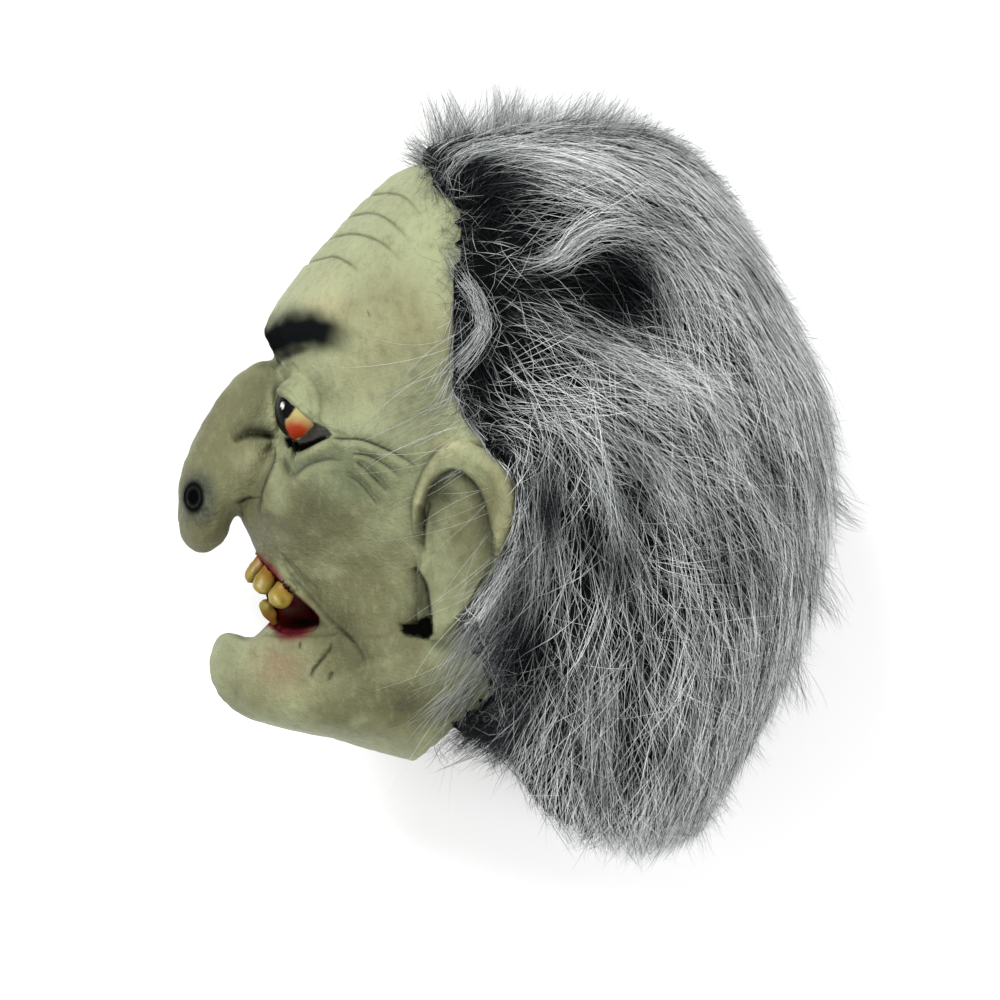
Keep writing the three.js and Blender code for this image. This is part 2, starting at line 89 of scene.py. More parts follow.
# Folds of the skin: path in profile, the crease's width and depth, how far the skin swells to the left and
# right of the path and over what reach, and how dark the painted shade lies in the crease
FOLDS = [
    {"name": "wing top", "path": [(-106.7, 17.9), (-109.5, 20), (-113.2, 20.9), (-117.8, 20.9),
                                  (-121.9, 19.1), (-125.6, 16.6)],
     "width": 2.1, "depth": 2.6, "left": 2.6, "right": -1.6, "reach": 7, "dark": 0.98},
    {"name": "near cheek edge", "path": [(-107.2, 16.6), (-106, 11.5), (-106.7, 6.4), (-109, 0.9),
                                         (-111.3, -5.5), (-112.2, -12.9), (-111.3, -20.2)],
     "width": 1, "depth": 0.8, "left": 2.4, "right": -1.0, "reach": 6, "dark": 0.8},
    {"name": "tear trough", "path": [(-102.1, 11.5), (-100.5, 5.5), (-97.5, 0)],
     "width": 1.5, "depth": 2, "left": 0.2, "right": 0.5, "reach": 5, "dark": 0.45},
    {"name": "cheek top", "path": [(-97.5, -0.5), (-94.3, 3.2), (-90.2, 6.4), (-85.1, 8.3), (-79.1, 9.2),
                                   (-71.8, 7.8)],
     "width": 0.9, "depth": 0.5, "left": -1.2, "right": 2, "reach": 7, "dark": 0.5},
    {"name": "crow 1", "path": [(-81, 19.3), (-75.6, 18.4), (-65.9, 17.9), (-56.3, 14.4), (-45.7, 9.2),
                                (-39.1, 3.7)],
     "width": 0.8, "depth": 0.9, "left": -1.1, "right": 1.3, "reach": 4.5, "dark": 0.95},
    {"name": "crow 2", "path": [(-71.8, 11.5), (-66.2, 11.5), (-60.7, 10.1), (-52, 4.7), (-45.7, -1.8)],
     "width": 0.8, "depth": 0.9, "left": -0.9, "right": 1.1, "reach": 4, "dark": 0.85},
    {"name": "crow 3", "path": [(-69.9, 9.2), (-65.3, 6), (-59.8, 0.5), (-51.1, -8.3)],
     "width": 0.8, "depth": 0.9, "left": -0.9, "right": 1.2, "reach": 4, "dark": 0.95},
    {"name": "crow 4", "path": [(-74.7, 3), (-67.7, -0.5), (-61.6, -7.5), (-57, -13.8)],
     "width": 0.75, "depth": 0.8, "left": -0.7, "right": 1, "reach": 4, "dark": 0.75},
    {"name": "smile", "path": [(-103.2, -35), (-100.5, -41.3), (-93.5, -49.2), (-86.5, -57), (-79.6, -64.2),
                               (-71.5, -71.2), (-65.3, -80), (-63.6, -88.8)],
     "width": 1.5, "depth": 0.8, "left": -1.4, "right": 2, "reach": 7, "dark": 0.5},
    {"name": "smile inner", "path": [(-104.5, -32), (-100, -37.5), (-93.5, -44.5), (-87, -51)],
     "width": 0.9, "depth": 0.7, "left": 0.5, "right": 0.2, "reach": 3, "dark": 0.45},
    {"name": "nostril", "path": [(-125.1, -11), (-121.9, -9.7), (-117.8, -8.3), (-112.2, -8.3)],
     "width": 0.8, "depth": 1.5, "left": 0.4, "right": 0.4, "reach": 3, "dark": 0.98},
    {"name": "chin 1", "path": [(-80, -73.6), (-81, -77.3), (-85.6, -82.8), (-88.8, -86.9), (-89.2, -91.5)],
     "width": 1.1, "depth": 1.5, "left": 0.5, "right": 0.7, "reach": 4, "dark": 0.9},
    {"name": "chin 2", "path": [(-79.6, -86.9), (-81.4, -91.5)],
     "width": 1.1, "depth": 1.2, "left": 0.2, "right": 0.4, "reach": 3, "dark": 0.75},
    {"name": "chin 3", "path": [(-94.3, -73.1), (-94.8, -77.3)],
     "width": 0.8, "depth": 1, "left": 0.2, "right": 0.2, "reach": 3, "dark": 0.8},
    {"name": "helix inner", "path": [(-38.4, -27.6), (-38.2, -16.1), (-35.9, -6.9), (-32.2, -0.5),
                                     (-26.2, 3.7), (-19.3, 2.3), (-13.3, -4.1), (-9.2, -15.2),
                                     (-6.9, -26.7), (-6.9, -36.3), (-10.1, -45.5), (-13.8, -52.4),
                                     (-19.3, -59.8)],
     "width": 1.4, "depth": 1.2, "left": 2.8, "right": -2.2, "reach": 6, "dark": 0.6},
    {"name": "ear slit", "path": [(-35.9, -10.6), (-37, -16.1), (-37.7, -23.9), (-37.3, -34)],
     "width": 1, "depth": 1.5, "left": 0.9, "right": -2.4, "reach": 4, "dark": 0.98},
    {"name": "ear edge", "path": [(-41.9, -38.6), (-39.6, -42.3), (-36.8, -47.4), (-35.4, -55.2),
                                  (-34.3, -65.3), (-35, -70.4)],
     "width": 1, "depth": 1.2, "left": 1.2, "right": -2.4, "reach": 5, "dark": 0.98},
    {"name": "ear front", "path": [(-42.5, -28), (-43.4, -12), (-41.2, -3), (-37.2, 6), (-32, 13),
                                   (-26.7, 17), (-20, 18.2)],
     "width": 0.9, "depth": 0.6, "left": -0.8, "right": 1.2, "reach": 4, "dark": 0.35},
    {"name": "brow under", "path": [(-106.7, 49.7), (-105.3, 52.9), (-101.7, 55.2), (-95.7, 57),
                                    (-87.4, 58.9)],
     "width": 1.6, "depth": 1.2, "left": 0, "right": 0.8, "reach": 6, "dark": 0.45},
    {"name": "lid crease", "path": [(-89.7, 31.3), (-84.2, 25.3), (-78.2, 21.6), (-71.8, 19.8)],
     "width": 0.8, "depth": 0.6, "left": 0.2, "right": 0.2, "reach": 4, "dark": 0.25},
    {"name": "pore crack", "path": [(-63.5, 76.4), (-62.1, 72.7)],
     "width": 0.5, "depth": 0.5, "left": 0, "right": 0, "reach": 3, "dark": 0.6},
]
# Raised rims: path, width, height and how much paler they are, as latex rubbed bare and as painted highlight
RIDGES = [
    {"name": "canthus", "path": [(-108.1, 44.6), (-108.6, 36.8), (-107.6, 27.6), (-105.8, 18.4),
                                 (-103.5, 12.4)],
     "width": 1.9, "height": 1.5, "rubbed_and_highlight": 0.5},
    {"name": "lower lid", "path": [(-100.7, 11), (-95.7, 9.7), (-90.2, 12), (-83.7, 15), (-76.4, 16.6)],
     "width": 1.8, "height": 1.1, "rubbed_and_highlight": 0.35},
    {"name": "upper lid", "path": [(-106.3, 40.9), (-101.2, 39.8), (-97.1, 36.3), (-93.4, 32.2),
                                   (-89.7, 29), (-85.6, 25.3)],
     "width": 1.3, "height": 1.3, "rubbed_and_highlight": 0.1},
    {"name": "cheek roll", "path": [(-98.5, -6), (-94.5, -1), (-90, 2.8), (-84.5, 5), (-78.5, 5.8),
                                    (-71, 4.2)],
     "width": 2, "height": 0.6, "rubbed_and_highlight": 0.25},
    {"name": "crow roll 1", "path": [(-79, 16.5), (-74.5, 15.6), (-66.5, 15.1), (-57.8, 11.8), (-47.2, 6.4),
                                     (-40.8, 1)],
     "width": 1.1, "height": 0.3, "rubbed_and_highlight": 0.28},
    {"name": "crow roll 2", "path": [(-71, 9.2), (-66.5, 9), (-61.8, 7.6), (-53.6, 2.4), (-47.4, -4.2)],
     "width": 1, "height": 0.3, "rubbed_and_highlight": 0.22},
    {"name": "crow roll 3", "path": [(-70.4, 6.6), (-66.6, 3.6), (-61.4, -1.8), (-53, -10.4)],
     "width": 1.1, "height": 0.3, "rubbed_and_highlight": 0.22},
    {"name": "lip upper", "path": [(-115.5, -33.1), (-109, -40), (-100.3, -47.4), (-92, -52.9),
                                   (-85.6, -60.3)],
     "width": 1.5, "height": 1.1, "rubbed_and_highlight": 0},
    {"name": "helix front", "path": [(-40.5, -29.9), (-41.2, -18.4), (-40, -9.2), (-36.8, 0), (-32.2, 8.3),
                                     (-26.7, 13.3)],
     "width": 2.2, "height": 1.9, "rubbed_and_highlight": 0.45},
    {"name": "helix top", "path": [(-26.7, 13.3), (-19.3, 14.3), (-12, 10.1), (-5.1, 3.7), (-1.4, -5.5),
                                   (-1.4, -15.2), (-3.2, -25), (-7.5, -37), (-13, -48), (-20, -60)],
     "width": 4.6, "height": 2.8, "rubbed_and_highlight": 0.16},
    {"name": "helix crown", "path": [(-33, 8), (-27.5, 13.8), (-20, 15), (-13, 11)],
     "width": 3.6, "height": 0.4, "rubbed_and_highlight": 0.5},
]
# Patches of dark paint as closed outlines in profile: black painted shade in the sight slit and the ear's
# hole, and dark grey on the inner lid. The slit and the hole are sunk as well.
SIGHT_SLIT = [(-103.3, 25.5), (-102.8, 22.1), (-101.9, 18.4), (-99.6, 14.3), (-96.7, 12.7), (-93.4, 13.3),
              (-89.7, 15), (-85.6, 17), (-81, 19.3), (-84.6, 18.9), (-89.2, 17.2), (-94.3, 16.1),
              (-97.5, 16.8), (-100.3, 19.6), (-101.7, 23)]
INNER_LID = [(-97.5, 16.8), (-94.3, 18.4), (-91.5, 21.6), (-89.9, 25.8), (-86.5, 25.3), (-81.9, 23),
             (-79.6, 20.2), (-84.2, 17.9), (-89.7, 15.6), (-94.3, 14.7)]
EAR_HOLE = [(-48.8, -65.8), (-41.4, -64.4), (-36.3, -61.2), (-34.5, -65.3), (-34.3, -69), (-36.3, -71.3),
            (-46.5, -69.5)]
# Soft painted shade beside a fold: which fold, on its left or right, reach and strength
SHADES = [("near cheek edge", -1, 3.0, 0.5), ("wing top", -1, 4.5, 0.95), ("ear edge", -1, 5.5, 0.85),
          ("cheek top", 1, 2.5, 0.45), ("tear trough", 1, 2.5, 0.5), ("smile", 1, 5, 0.4),
          ("helix inner", -1, 6, 0.8), ("ear slit", -1, 4.5, 0.95), ("brow under", 1, 4, 0.4),
          ("nostril", -1, 4, 0.35), ("ear front", 1, 3, 0.3), ("lid crease", -1, 3, 0.2),
          ("crow 1", 1, 3, 0.35), ("crow 2", 1, 2.5, 0.3), ("crow 3", 1, 2.5, 0.35),
          ("crow 4", 1, 2.5, 0.25)]
# Soft hollows and swellings of the outline in profile: middle, reach, and shift
DENTS = [((-119.1, -71), (4.4, 6), (0, -2)), ((-129, -70), (5, 6), (0, 0.9))]
# Boxes in profile where the skin's mesh is finer: low and high corner
FINE_BOXES = [((-109, 6), (-76, 45)), ((-122, -72), (-82, -30)), ((-151, -18), (-136, 2)),
              ((-114, 54), (-74, 77))]
FINE_REACH = 1.6  # how many widths of a fold the finer mesh takes in
FINE_MARGIN = 0.8  # and how much more
LINE_WIDTH = 0.7  # of the forehead's wrinkles
LINE_DEPTH = 0.75
LINE_BANK = 0.3  # how far the skin swells beside them

# How often the latex mesh is evened out, and how far each round moves it out and back
RELAX_ROUNDS = 110
SMOOTH_OUT = 0.6
SMOOTH_BACK = -0.61
# The share of the faces that are kept where nothing shows, and on the right side and the left
HIDDEN_SHARE = 0.05
SIDE_SHARES = [(-1, 0.185), (1, 0.42)]
SEAM = 2  # the strip along the plane of symmetry that isn't thinned
COVERED = 1.6  # the skin is hidden where the fur's solid is nearer than this
# Small cast shapes that the smoothing spares, such as the lids: middle, reach, and how much it spares them
SPARED = [((-97, 28.5, 34), (22, 20, 22), 1), ((-106, -46, 15), (18, 20, 30), 1),
          ((-20, -15, 75), (22, 50, 60), 0.65)]

# The coats of paint in the order in which they lie: airbrushed with frayed edges, then put on with a brush,
# and those of them that take the skin's sheen away. Among them are painted shade and painted highlight.
SPRAYED_COATS = ["warm", "olive_and_shade", "cool", "umber_shade", "pink", "rubbed_and_highlight", "painted_shade", "crease_shade", "halo"]
BRUSHED_COATS = ["brow", "wart", "lip", "mouth", "rim_grey", "deep_shade"]
MATT_COATS = ["mouth", "deep_shade", "brow", "crease_shade", "lip", "wart"]
FRAY = 2.4  # how much the speckle eats into a sprayed coat's edge
COAT_LIMIT = 0.95
# Soft airbrush clouds, among them painted shade in hollows and painted highlights on bulges: coat, middle and
# reach in profile, and strength
CLOUDS = [
    ("olive_and_shade", (-35.9, 36.8), (12, 27.6), 0.55),
    ("olive_and_shade", (-79.6, 40.5), (18.4, 11), 0.45),
    ("olive_and_shade", (-87.4, -14.7), (20.2, 15.6), 0.8),
    ("cool", (-90.2, 10.1), (16, 6.5), 0.7),
    ("painted_shade", (-90, 9.5), (11, 3), 0.16),
    ("painted_shade", (-87, -13), (15, 10), 0.42),
    ("painted_shade", (-112.6, 22), (6.5, 2.6), 0.9),
    ("rubbed_and_highlight", (-116, 9.5), (8.5, 8), 0.42),
    ("rubbed_and_highlight", (-110.6, 12.5), (3.4, 5), 0.4),
    ("deep_shade", (-110.8, 19.9), (5.2, 1.6), 0.95),
    ("painted_shade", (-42, -101), (11, 11), 0.25),
    ("painted_shade", (-24, -37), (9, 22), 0.14),
    ("rubbed_and_highlight", (-98, -97), (14, 7), 0.3),
    ("painted_shade", (-77, -66), (9, 11), 0.5),
    ("painted_shade", (-66, -80), (9, 9), 0.35),
    ("painted_shade", (-52, -101), (24, 9), 0.32),
    ("painted_shade", (-28, -7), (7, 5.5), 0.5),
    ("painted_shade", (-34.5, -18), (3.4, 12), 0.5),
    ("warm", (-1.6, -9), (6, 16), 0.7),
    ("rubbed_and_highlight", (-82, 84), (11, 11), 0.4),
    ("painted_shade", (-58, 3), (14, 9), 0.14),
    ("painted_shade", (-34, 36), (9, 16), 0.2),
    ("olive_and_shade", (-75, -66.7), (21.2, 23), 0.75),
    ("olive_and_shade", (-56.6, -103.5), (36.8, 15.6), 0.75),
    ("olive_and_shade", (-38.2, -92), (18.4, 41.4), 0.4),
    ("olive_and_shade", (-17.5, -13.8), (10.1, 19.3), 0.85),
    ("olive_and_shade", (-25.8, -39.1), (13.8, 25.8), 0.5),
    ("olive_and_shade", (-113.2, 43.7), (12, 13.8), 0.3),
    ("olive_and_shade", (-127, 20), (12, 16), 0.3),
    ("olive_and_shade", (-60, 80), (16, 14), 0.3),
    ("warm", (-49.7, 64.4), (27.6, 27.6), 0.6),
    ("cool", (-61.2, 6.9), (24, 14), 0.75),
    ("cool", (-74, -2), (16, 10), 0.65),
    ("olive_and_shade", (-131.6, -20.7), (9.2, 5.52), 0.3),
    ("olive_and_shade", (-95.7, -36.8), (27.6, 13.8), 0.15),
    ("cool", (-100.3, 23), (13.8, 27.6), 0.2),
    ("olive_and_shade", (-113.2, -23), (7.36, 15.6), 0.25),
    ("olive_and_shade", (-2.5, -14), (10, 28), 0.75),
    ("deep_shade", (-40.9, -58), (6.44, 10.1), 0.5),
    ("deep_shade", (-30.8, -5.5), (7.36, 9.2), 0.5),
    ("olive_and_shade", (-47.4, -50.6), (10.1, 27.6), 0.2),
    ("pink", (-106.3, -85.1), (13.8, 10.1), 0.4),
    ("pink", (-84, 78), (10, 5), 0.18),
    ("olive_and_shade", (-121, -97), (30, 16), 0.5),
    ("olive_and_shade", (-82, -101), (24, 12), 0.35),
    ("olive_and_shade", (-56.6, -36.8), (23, 27.6), 0.1),
    ("olive_and_shade", (-104.9, 49.7), (7.36, 7.36), 0.12),
    # Painted shade under the nose's tip
    ("umber_shade", (-139.4, -22), (13.8, 9), 0.3),
    ("olive_and_shade", (-74, -62), (16, 18), 0.5),
    ("cool", (-48, 50), (14, 12), 0.35),
    ("cool", (-36, 36), (10, 14), 0.35),
    ("olive_and_shade", (-129, 22), (10, 10), 0.3),
    ("painted_shade", (-105, 41), (3.5, 4), 0.5),
    ("rubbed_and_highlight", (-98, 50), (7, 5), 0.35),
    ("rubbed_and_highlight", (-24.4, 16.1), (7, 3), 0.8),
    ("deep_shade", (-93, -65.4), (8, 1.9), 0.85),
]

# The painted brow: points along its middle, each with half the brow's width there
BROW = [(-110, 62, 8), (-104, 64.3, 9.6), (-98, 66.8, 9.8), (-90, 67.3, 8.8), (-83, 66, 7.4),
        (-76, 63.5, 6), (-68, 60.5, 5)]
WART = (-144, -7.8)
WART_RADII = (4.3, 6.2)
HALO = (-142, -8)  # middle of the overspray round the wart

MOUTH_OUTLINE = [(-125, -31), (-117, -33.5), (-99.8, -48.8), (-87, -60), (-84, -66.5), (-91, -69.8),
                 (-103, -70.2), (-110.5, -66), (-125, -66)]
TONGUE = (-98.9, -56.6)  # the brighter red in the mouth
TONGUE_REACH = (5, 4)
# The eye: the ball as on the CAD part, the iris's direction as seen from the left and its half angle, how far
# the cornea bulges, and the middles of the red and of the painted highlight in profile
EYE = {"at": (-91, 31.5, 34), "radius": 15.25, "gaze": (-0.776, 0.175, 0.605), "iris_angle": 27.4,
       "cornea": 0.7, "red": (-96, 21.6), "painted_highlight": (-102.3, 33.6)}
IRIS_EDGE = 1.2  # degrees over which the iris fades
RED_REACH = (9, 6.2)
# The painted highlight: a white spot on the iris that stands in for a reflection, and how far it reaches
PAINTED_HIGHLIGHT_REACH = (0.5, 1.2)
# Painted shade on the eyeball's front corner and lower edge in profile, in the iris's black
EYE_SHADE = [(-108.6, 44.2), (-96.1, 38.2), (-96.1, 35), (-97.1, 31.7), (-99.4, 28.5), (-101.4, 26.9),
             (-101, 23), (-99.3, 19.5), (-96.9, 17), (-99, 14), (-104, 18), (-107.6, 32.2)]
EYE_SEGMENTS = 72
EYE_RINGS = 48

TOOTH_SIDES = 24
TOOTH_RINGS = 20
TOOTH_SLANT = 8  # how much closer to the middle a tooth's root lies than its tip
TOOTH_FLATNESS = 0.8
TOOTH_BLUNT = 0.72  # where along a tooth its tip starts to round off
STUB_SHRINK = 0.8  # how far the cast teeth are drawn in to their gums
STUB_SHIFT = (3, -5)  # and how far they then go back and inwards
# Teeth: at, side, length, radius and lean say where the cast tooth stands, upper is 1 for the upper jaw, and
# root, tip and girth shape the tooth that is seen
TEETH = [
    {"at": (-113.5, -31), "side": 5, "length": 17, "radius": 4.4, "upper": 1, "lean": -4,
     "root": (-110.8, -31.5), "tip": (-119.4, -47.2), "girth": 3.1},
    {"at": (-106.5, -38), "side": 15.5, "length": 17, "radius": 4.8, "upper": 1, "lean": -6.5,
     "root": (-106.6, -36.5), "tip": (-113.9, -52.2), "girth": 4.5},
    {"at": (-98.5, -45), "side": 26, "length": 16, "radius": 5, "upper": 1, "lean": -4,
     "root": (-97.8, -42.6), "tip": (-106.5, -58), "girth": 4.9},
    {"at": (-108, -70), "side": 8, "length": 19, "radius": 3.6, "upper": -1, "lean": -4,
     "root": (-106.5, -67), "tip": (-112.7, -55), "girth": 2.9},
]

FUR_INSET = 8  # how far the under-fur lies below the pile's tips
WALL_DEPTH = 1.5  # how deep in the latex the under-fur lies where the skin is bare
RING_REACH = 2.4  # nearer than this to the bare skin's outline, the under-fur's points are moved onto it
COMB_LOW = (-80, -200)
COMB_HIGH = (200, 200)
COMB_CELL = 4
LOOSE_BELOW = -118  # below this level the strands hang free
PILE_STEPS = 5
LOCK_STEPS = 7
FUZZ_STEPS = 3
STRANDS_A_PIECE = 6800
# The pile: its length at the hairline and how much longer it grows behind, and how high hairs lie and fly
PILE_LENGTH = 32
PILE_GAIN = 68
LYING_LIFT = 8
FLYING_LIFT = 15
FLYING_SHARE = 0.3
BRIGHT_SHARE = 0.68  # the part of the hairs that are silver, and the others are dark
STRANDS_A_GUIDE = 9  # how many strands gather to one guide
LEAST_GUIDES = 60
LOCK_SHARE = 0.5
RIGHT_LOCK_SHARE = 0.25
FUZZ_HAIRS = 6400
FRINGE_HAIRS = 1100
TEMPLE_HAIRS = 60
JAW_HAIRS = 80
# The room that the hairs may take
HAIR_LOW = np.array([-165, -185, 0.3]) * MM
HAIR_HIGH = np.array([168.5, 186, 236]) * MM

# Locks that show how the hair is combed: points in profile from root to tip
COMBED = [
    [(-27.6, 126.5), (-24.4, 145), (-3.7, 152), (42.3, 145), (79, 122), (110, 90)],
    [(-25, 118), (0, 120), (40, 112), (75, 105), (112, 76)],
    [(0.5, 94.3), (18.4, 96.6), (32.2, 108.6), (45.5, 114), (73, 109.5), (110, 92)],
    [(45, 112), (62, 98), (76, 75), (88, 50), (104, 20), (120, -10)],
    [(-3.7, 78.2), (25, 66), (60, 48), (88, 36.8), (120, 18), (160, -20)],
    [(-22, 60), (0, 45), (25, 30), (60, 12), (100, -10), (140, -40)],
    [(-18, 30), (5, 30), (29.4, 27.1), (50, 10), (80, -18), (110, -60)],
    [(10, 20), (20, 0), (26, -25), (33, -60), (36, -110), (36, -160)],
    [(29.4, 27.1), (42, 0), (56, -35), (70, -75), (80, -120), (84, -160)],
    [(8, -5), (6, -25), (-4, -48), (-20, -75), (-36, -100), (-45, -115)],
    [(12, -18), (10, -45), (2, -80), (-8, -112), (-14, -140)],
    [(18, -35), (20, -80), (16, -120), (12, -160)],
    [(60, 30), (90, -5), (115, -45), (128, -90), (120, -130)],
    [(100, 70), (125, 40), (140, 5), (150, -30), (150, -70)],
    [(70, -60), (90, -90), (100, -125), (98, -160)],
    [(-30, 90), (-26, 70), (-20, 50), (-22, 30)],
]

# The hairline in profile, from the forehead round behind the ear to the hair's lower edge
HAIRLINE = [(-41.5, 145), (-36, 136), (-26, 121), (-28.5, 105), (-26, 84), (-26, 56), (-24.5, 38),
            (-15, 22.5), (0.5, 13), (8, -5), (6, -24), (-3, -47), (-11, -64), (-9, -80), (-5, -95),
            (-18, -110), (-36, -124)]
# Skin of the jaw's rear that the hair only trails over, as a closed outline in profile
BARE = np.array([(-54, -70), (-34, -68), (-22, -64), (-14, -64), (-3, -96), (-10.6, -104.4),
                 (-17, -109.5), (-23.5, -115), (-30.8, -120.5), (-40, -127.4), (-43.7, -133), (-56, -125)])

# Locks that stand out: path in profile, half width, strands, tone from 0 black to 1 silver, and lift
LOCKS = [
    {"path": [(-28, 126), (-24.4, 143), (-3.7, 151), (42.3, 145), (79, 122)], "width": 5, "strands": 240,
     "tone": 0.85, "lift": 9},
    {"path": [(-24, 132), (-12, 144), (12, 148), (50, 138), (84, 112)], "width": 6, "strands": 240,
     "tone": 0.75, "lift": 8},
    {"path": [(-20, 122), (-8, 130), (14, 133), (44, 126), (70, 108)], "width": 5, "strands": 150,
     "tone": 0.6, "lift": 6},
    {"path": [(0.5, 94.3), (18.4, 96.6), (32.2, 108.6), (45.5, 114), (73, 109.5)], "width": 4, "strands": 200,
     "tone": 0.85, "lift": 7},
    {"path": [(51.5, 110), (66, 98), (78, 78), (88, 50)], "width": 5, "strands": 200, "tone": 0.7, "lift": 8},
    {"path": [(-3.7, 78.2), (25, 66), (60, 48), (88, 36.8), (118, 16)], "width": 6, "strands": 220,
     "tone": 0.65, "lift": 7},
    {"path": [(29.4, 27.1), (20, 8), (16, -20), (14, -52), (4, -86)], "width": 5, "strands": 200,
     "tone": 0.6, "lift": 7},
    {"path": [(29.4, 27.1), (40, 4), (50, -32), (62, -72)],
     "width": 5, "strands": 180, "tone": 0.6, "lift": 7},
    {"path": [(32, 28), (54, 14), (76, -14), (96, -50)], "width": 5, "strands": 180, "tone": 0.6, "lift": 7},
    {"path": [(110, 90), (128, 60), (142, 30), (150, 0)], "width": 5, "strands": 160, "tone": 0.7, "lift": 6},
    {"path": [(12, -20), (4, -55), (-12, -88), (-34, -108)],
     "width": 4, "strands": 160, "tone": 0.55, "lift": 4},
    {"path": [(34, -60), (40, -100), (40, -140), (42, -172)],
     "width": 6, "strands": 200, "tone": 0.5, "lift": 6},
    {"path": [(70, -80), (80, -115), (84, -150), (82, -176)],
     "width": 6, "strands": 180, "tone": 0.5, "lift": 6},
    {"path": [(6, -92), (-6, -108), (-17, -119), (-36, -131)],
     "width": 4, "strands": 260, "tone": 0.3, "lift": 2},
    {"path": [(12, -96), (3, -112), (-6, -124), (-20, -134)],
     "width": 4, "strands": 240, "tone": 0.35, "lift": 3},
]
# The lock that trails from the temple down over the cheek, close to the skin
TEMPLE_LOCK = [(-29.9, 103.5), (-19.8, 87.9), (-12, 77.3), (-10.1, 69.5), (-13.3, 60.7), (-25.8, 49.2),
               (-32.2, 33.6), (-40.5, 23)]
# The lock that trails from behind the ear over the jaw's rear skin
JAW_LOCK = [(7.8, -23), (-1.5, -46), (-14, -66), (-26, -83), (-37, -104)]
# Places where the black under-fur lies open: middle and reach in profile, and how open
HOLLOWS = [((-8.3, 126.5), (20, 19), 0.75), ((-13.8, 139.8), (9, 6), 0.97),
           ((-14.7, 64.4), (10, 39), 0.75), ((49, 84), (18, 18), 0.98), ((17, 87.4), (14, 8), 0.5),
           ((18.4, -14.7), (6.5, 16.5), 0.65), ((37.7, -27.6), (6.5, 15), 0.7),
           ((50.6, -39.1), (7.5, 13), 0.5), ((3, -80), (15, 36), 0.62), ((107, -37), (17, 24), 0.3),
           ((134, 13), (15, 20), 0.16), ((57, -9.2), (7.5, 20), 0.5), ((118.2, 2.3), (9, 21), 0.35),
           ((55.2, -101.2), (4.6, 32), 0.35), ((73.6, -128.8), (5.5, 14), 0.3),
           ((-17.5, -108), (16, 16), 0.75), ((70, 73.6), (5.5, 16), 0.4)]
# Places where the silver tips lie thick: middle and reach in profile, and how much paler
FROSTED = [((37.7, 141), (37, 14), 0.12), ((54, 128), (18, 10), 0.25), ((37.7, 121.9), (16, 7), 0.3),
           ((24, 26), (20, 26), 0.38), ((79, 41.4), (14, 18), 0.2), ((134, 46), (23, 69), 0.25),
           ((35.4, -69), (8, 28), 0.3), ((139, -27.6), (16, 37), 0.35)]
# The hair's lower and rear edge in profile
HEM = np.array([(-60, -118), (-40.5, -127.4), (-26.7, -123.7), (-11.5, -125.6), (2.8, -134.3),
                (12, -145.8), (22.5, -156.4), (29.4, -162.4), (43.7, -166), (58, -169.3), (74, -166),
                (90.6, -160), (99.8, -148), (109.5, -133), (116.4, -117.8), (130.6, -107.2), (137, -86),
                (144.4, -75.4), (149, -60), (153, -44), (159, -30), (164, -21), (167, 0)])
# Tufts on the skyline: path in profile, strands, spread across and across the mask's thickness
TUFTS = [
    ([(-30, 140), (-42, 148), (-50.6, 151.8)], 120, 3.2, 16),
    ([(-34, 146), (-42, 154), (-48, 160)], 60, 3.2, 18),
    ([(-28, 146), (-34, 166), (-40, 181)], 60, 2.6, 16),
    ([(-19, 149), (-25, 168), (-30.5, 182)], 64, 2.6, 16),
    ([(-6, 151), (-4, 170), (-7, 184.5)], 80, 3, 14),
    ([(0, 152), (2.8, 171), (6.5, 184)], 70, 3, 18),
    ([(8, 150), (9, 164), (10.5, 176)], 60, 1.8, 10),
    ([(17, 151), (18.4, 166.5), (21, 178)], 50, 3.4, 16),
    ([(28, 150), (42.3, 168), (52, 183)], 150, 7, 20),
    ([(38, 148), (52.4, 163.3), (60, 176)], 90, 5, 20),
    ([(54, 146), (66, 156.4), (73, 164)], 50, 5, 24),
    ([(140, -2), (155, -16), (165, -20.7)], 50, 4, 14),
    ([(134, -40), (148, -58), (154, -70)], 50, 5, 24),
    ([(126, -80), (133, -98), (136, -108)], 50, 5, 24),
]
# Where the stray hairs over the cheek and the ear start, in profile
STRAY_ROOTS = [(-26.7, 64.4), (-24.4, 36.8), (-21.2, 18.4), (4, -26), (6, -44), (-2, -66), (-14, -86),
               (-26.7, -101.2)]
STRAYS = 230


def linear(colour):
    """An sRGB hex colour as linear red, green, blue and alpha."""
    channels = [int(colour[i : i + 2], 16) / 255 for i in (1, 3, 5)]
    return tuple(c / 12.92 if c <= 0.04045 else ((c + 0.055) / 1.055) ** 2.4 for c in channels) + (1.0,)


def colour_property(name, description, colour):
    return FloatVectorProperty(
        name=name, description=description, subtype="COLOR", size=4, min=0, max=1, default=linear(colour))


def points_of(mesh):
    flat = np.empty(len(mesh.vertices) * 3, np.float32)
    mesh.vertices.foreach_get("co", flat)
    return flat.reshape(-1, 3).astype(float)


def normals_of(mesh):
    flat = np.empty(len(mesh.vertices) * 3, np.float32)
    mesh.vertex_normals.foreach_get("vector", flat)
    return flat.reshape(-1, 3).astype(float)


def edges_of(mesh):
    flat = np.empty(len(mesh.edges) * 2, np.int32)
    mesh.edges.foreach_get("vertices", flat)
    return flat.reshape(-1, 2)


def move_points(mesh, points):
    mesh.vertices.foreach_set("co", points.astype(np.float32).ravel())
    mesh.update()


def profile(points):
    """Points in profile: x, y and the distance from the plane of symmetry, in millimetres."""
    return points[:, 0] / MM, points[:, 1] / MM, abs(points[:, 2] - MIDDLE) / MM


def ease(low, high, values):
    """0 at low, 1 at high and smooth between."""
    t = np.clip((values - low) / (high - low), 0, 1)
    return t * t * (3 - 2 * t)


